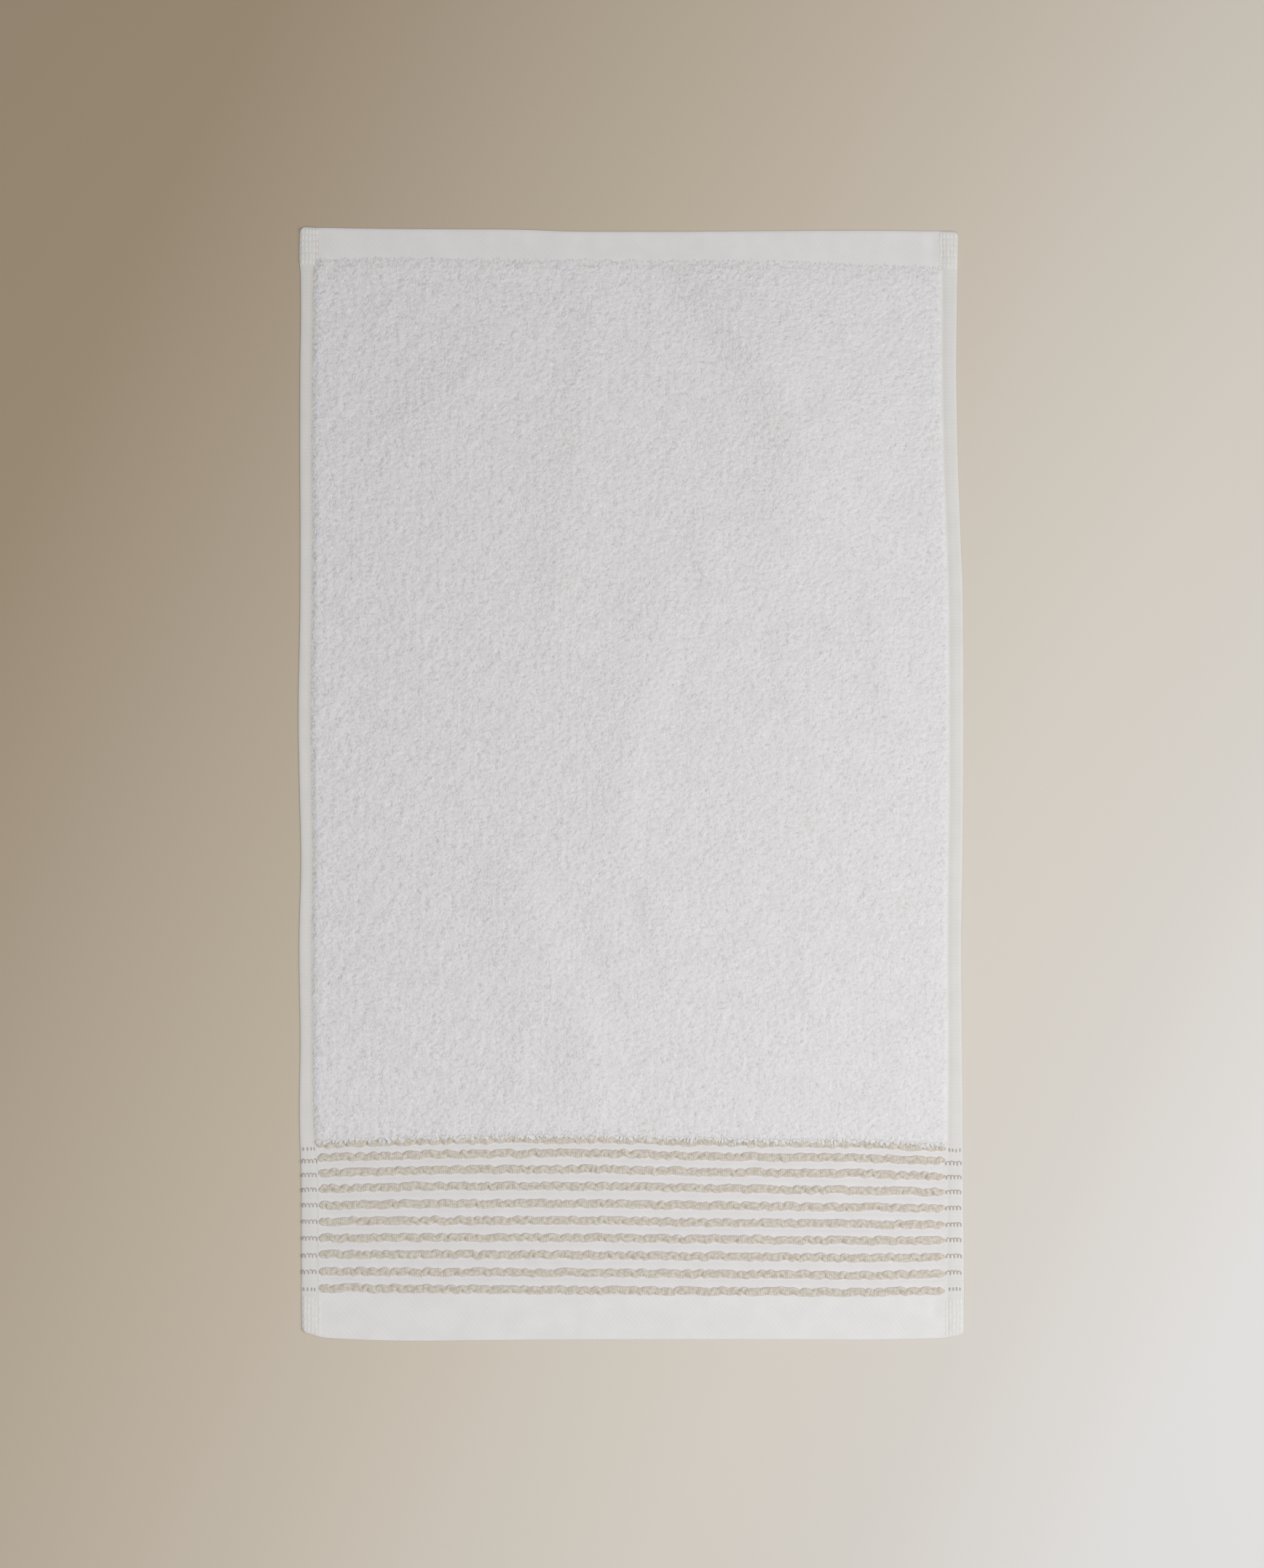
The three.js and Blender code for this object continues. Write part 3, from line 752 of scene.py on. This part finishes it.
# %% Make strands from rows of points
def strands(paths, radii, sides, squash):
    """Closed tubes with pointed ends. paths holds points of each strand, radii one value for each ring."""
    count, length, _ = paths.shape
    rings = length - 2
    way = paths[:, 2:] - paths[:, :-2]
    way /= np.linalg.norm(way, axis=-1, keepdims=True)
    side = np.cross(way, [0.0, 0.0, 1.0])
    side /= np.maximum(np.linalg.norm(side, axis=-1, keepdims=True), 1e-9)
    lift = np.cross(side, way)
    turn = np.pi / 2 + 2 * np.pi * np.arange(sides) / sides
    spokes = side[:, :, None] * np.cos(turn)[:, None] + squash * lift[:, :, None] * np.sin(turn)[:, None]
    ring = paths[:, 1:-1, None] + spokes * radii[:, :, None, None]
    points = np.concatenate([paths[:, :1], ring.reshape(count, rings * sides, 3), paths[:, -1:]], axis=1)

    this, other = np.arange(sides), (np.arange(sides) + 1) % sides
    last = 1 + rings * sides
    pattern = [np.stack([0 * this, 1 + this, 1 + other], axis=-1)]
    for k in range(rings - 1):
        here, there = 1 + k * sides, 1 + (k + 1) * sides
        pattern.append(np.stack([here + this, there + this, here + other], axis=-1))
        pattern.append(np.stack([here + other, there + this, there + other], axis=-1))
    pattern.append(np.stack([0 * this + last, last - sides + other, last - sides + this], axis=-1))
    pattern = np.concatenate(pattern)
    faces = pattern[None] + (np.arange(count) * (last + 1))[:, None, None]
    return points.reshape(-1, 3), faces.reshape(-1, 3)


print("strands ready")

# %% Scatter the loops over the field
LOOP_PITCH = 1.98 * MM
LOOP_LENGTH = 2.6 * MM
LOOP_RADIUS = 0.60 * MM
LOOP_RISE = 0.18 * MM
LOOP_SQUASH = 0.32
LOOP_SIDES = 3
LOOP_SOFTNESS = 0.9
LOOP_LEAN, LOOP_SCATTER = 0.4, 0.5
SIDE_MARGIN, END_OVERLAP = 1.2 * MM, 0.2 * MM
random = np.random.default_rng(7)


def loops(x, y, angle, length, rise, radius, sink=0.2 * MM):
    """Paths and radii of loops that start at x and y and lean towards an angle."""
    count = len(x)
    ahead = np.stack([np.cos(angle), np.sin(angle)], axis=-1)
    aside = ahead[:, ::-1] * (-1, 1) * random.normal(0, 0.3 * MM, (count, 1))
    share = np.array([0.0, 0.3, 0.7, 1.0])
    bow = np.array([0.0, 1.0, 0.9, 0.0])
    flat = np.stack([x, y], axis=-1)[:, None] + ahead[:, None] * share[:, None] * length[:, None, None]
    flat = flat + aside[:, None] * bow[:, None]
    ground = height_of_cloth(flat[..., 0], flat[..., 1])
    sunk = np.full(count, -sink)
    tops = np.stack([sunk, rise, rise * random.uniform(0.65, 1.05, count), sunk], axis=-1)
    paths = np.concatenate([flat, (ground + tops)[..., None]], axis=-1)
    radii = radius[:, None] * random.uniform(0.9, 1.1, (count, 2))
    return paths, radii


in_row = int((right_seam(0.0) - left_seam(0.0)) / LOOP_PITCH)
in_column = int((hem_seam(0.0) - RIB_LINES[0](0.0) - RIB_WIDTH / 2) / LOOP_PITCH)
column, row = (v.ravel() for v in np.meshgrid(np.arange(in_row), np.arange(in_column)))
share_across = (column + random.uniform(0.1, 0.9, column.size)) / in_row
share_along = (row + random.uniform(0.0, 1.0, row.size)) / in_column
# A rough place along the towel to begin with, which the turns make exact
y = 0.3 - 0.5 * share_along
for turn in range(CROSSING_TURNS):
    x = left_seam(y) + SIDE_MARGIN + (right_seam(y) - left_seam(y) - 2 * SIDE_MARGIN) * share_across
    top, foot = hem_seam(x) - END_OVERLAP, RIB_LINES[0](x) + RIB_WIDTH / 2 - END_OVERLAP
    y = top + (foot - top) * share_along
lean = LOOP_LEAN * (drift(x, y, 30 * MM, 3) + drift(x, y, 8 * MM, 4))
angle = -np.pi / 2 + lean + random.normal(0, LOOP_SCATTER, x.size)
length = LOOP_LENGTH * random.uniform(0.6, 1.4, x.size)
rise = LOOP_RISE * (1 - 1.2 * x + 0.2 * drift(x, y, 9 * MM, 5) + random.normal(0, 0.35, x.size))
x -= np.cos(angle) * length / 2
y -= np.sin(angle) * length / 2
radius = LOOP_RADIUS * random.uniform(0.75, 1.25, x.size)
paths, radii = loops(x, y, angle, length, rise, radius)
print(f"{x.size} loops, {in_row} in a row and {in_column} rows")

# %% Colour the loops and join them into pieces
PILE_PIECES = 4
COOL_TINT = (0.978, 0.998, 1.022)
COOL_SIZE, TONE_SIZE = 9 * MM, 4 * MM
TONE_RANGE = (0.97, 1.02)


def tint(tree, colour, share, by):
    """Multiplies a colour socket by another colour as far as a value socket says."""
    product = add_node(tree, "ShaderNodeVectorMath", operation="MULTIPLY")
    tree.links.new(colour, product.inputs[0])
    tree.links.new(mix_colours(tree, share, (1.0, 1.0, 1.0), by), product.inputs[1])
    return product.outputs["Vector"]


def cotton_yarn(name, root, crest, fluffy=False):
    """Cotton yarn with painted shade at its roots and, if fluffy, in the hollows between its bumps."""
    material, tree, shader = new_material(name, 0.95)
    shader.inputs["Sheen Weight"].default_value = 0.2
    depth = add_node(tree, "ShaderNodeAttribute", attribute_name="lift").outputs["Fac"]
    colour = mix_colours(tree, depth, root, crest)
    if fluffy:
        grains = grain(tree, *GRAIN)
        add_bump(tree, shader, grains, GRAIN_RELIEF)
        # Painted shade: the grain's hollows are darker and warmer
        hollow = spread_values(tree, grains, *HOLLOW, 1.0, 0.0)
        colour = tint(tree, colour, hollow, HOLLOW_SHADE_TINT)
        cool = spread_values(tree, noise(tree, COOL_SIZE), *NOISE_RANGE)
        colour = tint(tree, colour, cool, COOL_TINT)
    tone = spread_values(tree, noise(tree, TONE_SIZE), 0.3, 0.7, *TONE_RANGE)
    scale = add_node(tree, "ShaderNodeVectorMath", operation="SCALE")
    tree.links.new(colour, scale.inputs[0])
    tree.links.new(tone, scale.inputs["Scale"])
    tree.links.new(scale.outputs["Vector"], shader.inputs["Base Color"])
    return material


def map_from_above(piece):
    """Lays the mesh out flat as seen from above, which suits cloth that is looked down on."""
    places = np.zeros(len(piece.data.vertices) * 3)
    piece.data.vertices.foreach_get("co", places)
    flat = places.reshape(-1, 3)[:, :2]
    low, size = flat.min(axis=0), np.ptp(flat, axis=0).max()
    corners = np.zeros(len(piece.data.loops), np.int32)
    piece.data.loops.foreach_get("vertex_index", corners)
    layer = piece.data.uv_layers.new(name="OFBake")
    layer.data.foreach_set("uv", ((flat - low) / size)[corners].ravel())


def facing_of_cloth(x, y):
    """The directions that the cloth faces, from its slopes over two millimetres."""
    rise_x = height_of_cloth(x + MM, y) - height_of_cloth(x - MM, y)
    rise_y = height_of_cloth(x, y + MM) - height_of_cloth(x, y - MM)
    facing = np.stack([-rise_x, -rise_y, np.full(x.shape, 2 * MM)], axis=-1)
    return facing / np.linalg.norm(facing, axis=-1, keepdims=True)


def yarn_piece(name, paths, radii, sides, material, squash, softness):
    """One piece of many strands. Each vertex is marked 0 at a strand's ends and about 1 on its way."""
    points, faces = strands(paths, radii, sides, squash)
    piece = new_piece(name, points, faces, [material])
    facing = facing_of_cloth(*paths[:, 1, :2].T)
    soften(piece, softness, np.repeat(facing, len(piece.data.vertices) // len(paths), axis=0))
    rings = radii.shape[1]
    # The mark sets the painted shade: 0 gives the darker root colour at the sunk ends, a random tone scales
    # the rest
    lift = np.concatenate([[0.0], np.ones(rings * sides), [0.0]])
    tone = random.uniform(0.2, 1.0, (len(paths), 1))
    mark_points(piece, "lift", (lift * tone).ravel())
    map_from_above(piece)
    return piece


loop_yarn = cotton_yarn("loop_yarn", (0.81, 0.793, 0.786), (0.897, 0.879, 0.884), fluffy=True)
order = np.argsort(-paths[:, 0, 1], kind="stable")
pile = []
for k, part in enumerate(np.array_split(order, PILE_PIECES)):
    pile.append(yarn_piece(
        f"terry_loops_{k + 1}", paths[part], radii[part], LOOP_SIDES, loop_yarn,
        LOOP_SQUASH, LOOP_SOFTNESS,
    ))

# %% Let loops hang over the first rib and the hem
EDGE_LOOP_PITCH = 1.1 * MM
EDGE_LOOP_SQUASH = 0.45
spots = np.arange(left_seam(-0.2) + 2 * MM, right_seam(-0.2) - 2 * MM, EDGE_LOOP_PITCH)
x = spots + random.uniform(-0.6, 0.6, spots.size) * MM
y = RIB_LINES[0](x) + RIB_WIDTH / 2 + random.uniform(0.0, 1.2, x.size) * MM
bunched = np.clip(drift(x, 0 * x, 12 * MM, 11) + drift(x, 0 * x, 4 * MM, 12), 0, 1.6)
reach = (1.5 + 1.6 * bunched + random.uniform(0, 0.9, x.size)) * MM
angle = -np.pi / 2 + random.normal(0, 0.4, x.size)
thick = random.uniform(0.7, 1.0, x.size) * MM
paths, radii = loops(x, y, angle, reach, np.full(x.size, 0.5 * MM), thick, sink=0.0)
paths[:, 1:, 2] = RIB_HEIGHT + np.array([0.3, 0.4, 0.1]) * MM
above = spots + random.uniform(-0.6, 0.6, spots.size) * MM
over = hem_seam(above) - random.uniform(-0.2, 1.2, above.size) * MM
reach = (1.4 + random.uniform(0, 1.6, above.size)) * MM
angle = np.pi / 2 + random.normal(0, 0.7, above.size)
rise, thick = np.full(above.size, 0.3 * MM), np.full(above.size, 0.4 * MM)
more, more_radii = loops(above, over, angle, reach, rise, thick)
paths, radii = np.concatenate([paths, more]), np.concatenate([radii, more_radii])
pile.append(yarn_piece(
    "edge_loops", paths, radii, LOOP_SIDES, loop_yarn, EDGE_LOOP_SQUASH, LOOP_SOFTNESS,
))

# %% [markdown]
# ## Ruched ribs
#
# Each rib is a tube of fine beige threads that the weaver lets float over the white ground and then draws
# together, so that it gathers like the heading of a curtain. Creases run into it from both edges, at uneven
# distances, and its edges bulge between them.
#
# A cylinder with a noise would only look bumpy. The mesh below is a long half tube. First its section is set
# out, then every crease cuts in from its own edge at its own slant, and the edge bulges between neighbours.
# Two numbers are kept for the material: where the threads lie along the rib, and how deep the crease is. The
# crease's depth darkens the colour, which is painted shade. The second number is below 0 at the very edges,
# where loose threads fray into the white ground and look paler.

# %% Gather the ribs
UPPER, LOWER = 1, 0
RIB_STEP = 0.65 * MM
# The section of a rib: where across it, from its lower to its upper edge, and how high
RIB_SECTION = [
    (0, 0), (0.02, 0.5), (0.08, 0.74), (0.24, 0.9), (0.5, 0.98), (0.76, 1), (0.92, 0.88), (0.98, 0.6), (1, 0),
]
RIB_SINK = 0.25 * MM
RIB_SHIFT = 0.25 * MM
RIB_REACH = 2.6 * MM
RIB_SWAY = 0.42 * MM
RIB_MARGIN = 0.9 * MM
NOTCH = {LOWER: 0.45 * MM, UPPER: 0.9 * MM}
RIB_SOFTNESS = 0.25
# The creases of a rib: how far apart in millimetres, how much further the odd one, how many are odd, how far
# into the rib they cut from each edge, and how deep
CREASE_GAP = (2.4, 4.6)
WIDER_GAP = (1.5, 6.0)
ODD_SHARE = 0.15
CUT_INTO = {LOWER: (0.45, 0.95), UPPER: (0.2, 0.6)}
CUT_DEPTH = (0.35, 1.0)


def crease_places(random, start, end):
    """Places of the creases along a rib. They mostly come from its upper and its lower edge in turn."""
    count = int((end - start) / (CREASE_GAP[0] * MM))
    gaps = random.uniform(*CREASE_GAP, count)
    gaps += (random.random(count) < ODD_SHARE) * random.uniform(*WIDER_GAP, count)
    places = start + np.cumsum(gaps) * MM
    edges = (np.arange(count) + (random.random(count) < ODD_SHARE)) % 2
    return [(place, edge) for place, edge in zip(places, edges) if place < end]


def rib_mesh(rib):
    """Points, faces, thread places and crease depths of one rib."""
    random = np.random.default_rng(100 + rib)
    line = RIB_LINES[rib]
    start, end = left_seam(line(-0.2)) + RIB_MARGIN, right_seam(line(0.2)) - RIB_MARGIN
    x = np.linspace(start, end, int((end - start) / RIB_STEP))[:, None]
    across, swell = np.array(RIB_SECTION).T[:, None]
    depth = np.zeros((x.size, across.size))
    sway = 0.25 * MM * drift(x, x * 0 + rib, 17 * MM, 400 + rib)
    reach = {}
    for edge in (UPPER, LOWER):
        reach[edge] = RIB_REACH + 0.2 * MM * drift(x, x * 0 + rib, 9 * MM, 600 + 10 * rib + edge)
    for place, edge in crease_places(random, start, end):
        cut, slant = random.uniform(*CUT_DEPTH), random.normal(0, 2.0 * MM)
        away = np.abs(across - edge)
        deep = random.uniform(*CUT_INTO[edge])
        width = random.uniform(0.6, 1.1) * MM * np.clip(1 - away / deep, 0, 1) + 0.25 * MM
        wedge = hill(x - place - slant * away, width) * smooth_step((deep - away) / 0.3)
        depth = np.maximum(depth, cut * wedge)
        sway = sway - (2 * edge - 1) * (0.3 + 0.7 * cut) * RIB_SWAY * hill(x - place, 1.7 * MM)
        reach[edge] = reach[edge] - NOTCH[edge] * cut * np.exp(-np.abs(x - place) / (0.8 * MM))
    fuzz = np.interp(np.minimum(across, 1 - across), [0, 0.02, 0.08, 0.24], [1, 0.8, 0.5, 0])
    taper = smooth_step((np.minimum(x - start, 0.6 * (end - x)) + 0.8 * MM) / (3.2 * MM))
    side = 2 * across - 1
    y_off = np.where(side < 0, side * reach[LOWER], side * reach[UPPER]) * (0.25 + 0.75 * taper)
    y = line(x) + RIB_SHIFT + sway + y_off
    base = height_of_cloth(x + 0 * across, np.broadcast_to(line(x), y.shape)) - RIB_SINK
    uneven = 1 + 0.12 * drift(x, x * 0 + rib, 6 * MM, 700 + rib)
    crest = (RIB_HEIGHT - BORDER_HEIGHT) * (0.3 + 0.7 * taper) * uneven
    z = base + (crest + RIB_SINK) * swell * (1 - 0.5 * depth)
    z = z + 0.1 * MM * drift(x + 1.5 * MM * across, 2.5 * MM * across, 3.6 * MM, 500 + rib) * swell
    lean = np.gradient(sway[:, 0], x[:, 0])[:, None]
    thread = x + 0.8 * lean * y_off + 0.4 * MM * drift(x, x * 0 + rib, 16 * MM, 200 + rib) * side
    points = np.stack([x + 0 * across, y, z], axis=-1)

    number = np.arange(y.size).reshape(y.shape)
    ring = np.concatenate([number, number[:, :1]], axis=1)
    faces = grid_faces(ring).tolist()
    faces += [number[0].tolist(), number[-1, ::-1].tolist()]
    return points.reshape(-1, 3), faces, thread.ravel(), (depth * (1 - fuzz) - fuzz).ravel()


points, faces, threads, depths = [], [], [], []
for rib in range(len(RIB_LINES)):
    first = sum(len(part) for part in points)
    rib_points, rib_faces, rib_threads, rib_depths = rib_mesh(rib)
    points.append(rib_points)
    faces += [[first + corner for corner in face] for face in rib_faces]
    threads.append(rib_threads)
    depths.append(rib_depths)

beige_floats, tree, shader = new_material("beige_floats", 0.9)
shader.inputs["Sheen Weight"].default_value = 0.15
THREAD_PITCH = 0.75 * MM
THREAD_RELIEF = 0.17 * MM
DARK_THREADS = (0.565, 0.505, 0.42), (0.725, 0.665, 0.575)
PALE_THREADS = (0.705, 0.645, 0.555), (0.89, 0.83, 0.755)
# The painted shade in the creases, and the paler colour of the frayed edges
CREASE_SHADE_COLOUR, FRAYED_COLOUR = (0.50, 0.435, 0.365), (0.80, 0.76, 0.71)
thread_place = add_node(tree, "ShaderNodeAttribute", attribute_name="thread").outputs["Fac"]
crease_depth = add_node(tree, "ShaderNodeAttribute", attribute_name="crease").outputs["Fac"]
wobble = spread_values(tree, noise(tree, 2 * MM), 0, 1, -0.6, 0.6)
turns = add_node(tree, "ShaderNodeMath", operation="MULTIPLY_ADD")
turns.inputs[1].default_value = 2 * np.pi / THREAD_PITCH
tree.links.new(thread_place, turns.inputs[0])
tree.links.new(wobble, turns.inputs[2])
sine = add_node(tree, "ShaderNodeMath", operation="SINE")
tree.links.new(turns.outputs[0], sine.inputs[0])
light_thread = spread_values(tree, sine.outputs[0], -1, 1)
uneven = spread_values(tree, noise(tree, 1.9 * MM, detail=1.0), *NOISE_RANGE)
dark_thread = mix_colours(tree, uneven, *DARK_THREADS)
pale_thread = mix_colours(tree, uneven, *PALE_THREADS)
woven = mix_colours(tree, light_thread, dark_thread, pale_thread)
# Painted shade: the deeper a crease, the darker its colour
crease_shade = spread_values(tree, crease_depth, 0.15, 0.85)
at_edge = spread_values(tree, crease_depth, -0.1, -1)
colour = mix_colours(tree, crease_shade, woven, CREASE_SHADE_COLOUR)
tree.links.new(mix_colours(tree, at_edge, colour, FRAYED_COLOUR), shader.inputs["Base Color"])
add_bump(tree, shader, light_thread, THREAD_RELIEF)

ribs = new_piece("ruched_ribs", np.concatenate(points), faces, [beige_floats])
mark_points(ribs, "thread", np.concatenate(threads))
mark_points(ribs, "crease", np.concatenate(depths))
soften(ribs, RIB_SOFTNESS)

# %% [markdown]
# ## Where the ribs meet the side hems
#
# The beige threads don't stop at the seam. Folded into the side hem they lie flat and show between the white
# threads as a row of short grey ticks, a small ladder beside every rib. In most rows thin pointed arms join
# them into a zigzag. They are strands too, only flatter, with white ones between them.

# %% Add the ladders
TICK_HEIGHT = 2.5 * MM
TICK_RADIUS = 0.55 * MM
ARM_RADIUS = 0.36 * MM
ARM_RISE = 1.0 * MM
TICK_LIFT, WHITE_LIFT = 0.08 * MM, 0.06 * MM
TICK_SQUASH = 0.5
# Where the ticks stand from left to right, on the left hem and on the right one, and the height of each row
LADDER_PLACES = {-1: (-202.8, -201.0, -198.7, -196.4, -194.2), 1: (193.9, 196.5, 198.7, 200.9, 202.9)}
PLAIN_PLACES = {-1: (-202.1, -199.6, -197.3, -195.5), 1: (196.0, 198.0, 200.0, 202.3)}
LADDER_ROWS = {
    -1: (-224.8, -232.6, -241.2, -250.4, -259.8, -269.9, -280.2, -290.8, -300.9, -311.4),
    1: (-225.5, -233.8, -242.5, -251.7, -261.6, -271.7, -281.1, -291.0, -301.3, -311.2),
}
PLAIN_ROWS = (0, len(RIB_LINES) - 1)
STRAND_POINTS = 6
STRAND_SIDES = 6
STRAND_SOFTNESS = 0.6
share = np.linspace(-0.5, 0.5, STRAND_POINTS)


def ladder(rib, side):
    """Paths of the grey ticks, of the arms that join them and of the white threads, beside one rib."""
    random = np.random.default_rng(300 + 2 * rib + (side > 0))
    middle = LADDER_ROWS[side][rib] * MM
    places = np.array((PLAIN_PLACES if rib in PLAIN_ROWS else LADDER_PLACES)[side]) * MM
    pitch = places[1] - places[0]
    places = places + random.normal(0, 0.15 * MM) + random.normal(0, 0.1 * MM, places.size)
    ticks, arms, threads = [], [], []
    for k, place in enumerate(places):
        tall = TICK_HEIGHT * random.uniform(0.9, 1.15)
        y = middle + random.normal(0, 0.12 * MM)
        lean = random.normal(0, 0.15 * MM)
        ticks.append([place + lean * share, y + tall * share])
        if k:
            threads.append([place - 0.5 * pitch + 0 * share, y - 0.25 * MM + 0.95 * tall * share])
        if k and rib not in PLAIN_ROWS:
            peak = ARM_RISE * (1 - np.abs(2 * share) ** 1.4)
            arms.append([place + pitch * (share - 0.5), y + 0.2 * tall + peak])
    kinds = (ticks, arms, threads)
    return [np.array(paths).reshape(-1, 2, STRAND_POINTS).transpose(0, 2, 1) for paths in kinds]


def lay_on_cloth(flat, above):
    """Adds the cloth's height to flat paths. Their ends dip into it."""
    height = height_of_cloth(flat[..., 0], flat[..., 1]) + above
    height[:, [0, -1]] -= above + 0.1 * MM
    return np.concatenate([flat, height[..., None]], axis=-1)


every = [ladder(rib, side) for rib in range(len(RIB_LINES)) for side in (-1, 1)]
ticks, arms, white = (np.concatenate(parts) for parts in zip(*every))
tick_yarn = cotton_yarn("tick_yarn", (0.45, 0.41, 0.38), (0.53, 0.485, 0.45))
grey_paths = lay_on_cloth(np.concatenate([ticks, arms]), TICK_LIFT)
white_paths = lay_on_cloth(white, WHITE_LIFT)
thick = np.repeat([TICK_RADIUS, ARM_RADIUS], [len(ticks), len(arms)])[:, None] * np.ones(STRAND_POINTS - 2)
ticks = yarn_piece(
    "ladder_ticks", grey_paths, thick, STRAND_SIDES, tick_yarn, TICK_SQUASH, STRAND_SOFTNESS,
)

# %% [markdown]
# ## Stitches
#
# A lockstitch runs down each side seam, one stitch every 4.2 millimetres or so, and each corner is sewn over
# with a few short rows. A row of separate small strands, each with its ends sunk into the cloth, looks sewn.
# One long tube would look like piping.

# %% Sew the side seams and the corners
STITCH_LENGTH = 3.6 * MM
STITCH_PITCH = 4.24 * MM
CORNER_PITCH = (2.2 * MM, 3.7 * MM)
CORNER_GRID = (5, 6)
SEWN_FROM, SEWN_TO = -0.335, 0.338
STITCH_SQUASH = 0.3
# How thick the stitches of the seams, those of the corners and the white threads of the ladders are
THREAD_RADII = (0.26 * MM, 1.0 * MM, 0.45 * MM)


def seam_stitches(seam, inwards):
    """Stitches in a row beside the groove of one side seam."""
    y = np.arange(SEWN_FROM, SEWN_TO, STITCH_PITCH)
    y = y + random.normal(0, 0.15 * MM, y.size)
    along = y[:, None] + STITCH_LENGTH * share
    return np.stack([seam(along) + inwards + random.normal(0, 0.06 * MM, (y.size, 1)), along], axis=-1)


def corner_stitches(side, end):
    """Rows of short threads over one corner, which the thick cloth there is sewn down with."""
    rows = []
    outer, edge = (plain_end if end > 0 else ribbed_end), (left_edge if side < 0 else right_edge)
    for row in range(CORNER_GRID[1]):
        for k in range(CORNER_GRID[0]):
            x = edge(end * 0.33) - side * (k + 0.9) * CORNER_PITCH[0] + random.normal(0, 0.1 * MM)
            y = outer(x) - end * (0.75 + row) * CORNER_PITCH[1] + random.normal(0, 0.1 * MM)
            rows.append(np.stack([x + 0 * share, y + 1.1 * CORNER_PITCH[1] * share], axis=-1))
    return np.array(rows)


sewn = np.concatenate([seam_stitches(left_seam, 0.9 * MM), seam_stitches(right_seam, -0.3 * MM)])
corners = np.concatenate([corner_stitches(side, end) for side in (-1, 1) for end in (-1, 1)])
sewn_paths = np.concatenate([lay_on_cloth(sewn, 0.05 * MM), lay_on_cloth(corners, -0.14 * MM), white_paths])
counts = [len(sewn), len(corners), len(white_paths)]
radii = np.repeat(THREAD_RADII, counts)[:, None] * np.ones(STRAND_POINTS - 2)
thread_yarn = cotton_yarn("sewing_thread", (0.79, 0.772, 0.748), (0.84, 0.823, 0.802))
stitches = yarn_piece(
    "white_stitches", sewn_paths, radii, STRAND_SIDES, thread_yarn,
    STITCH_SQUASH, STRAND_SOFTNESS,
)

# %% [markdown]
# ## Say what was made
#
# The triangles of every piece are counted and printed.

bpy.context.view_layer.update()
total = sum(len(o.data.loop_triangles) for o in [cloth, *pile, ribs, ticks, stitches])
print(total, "triangles in all")
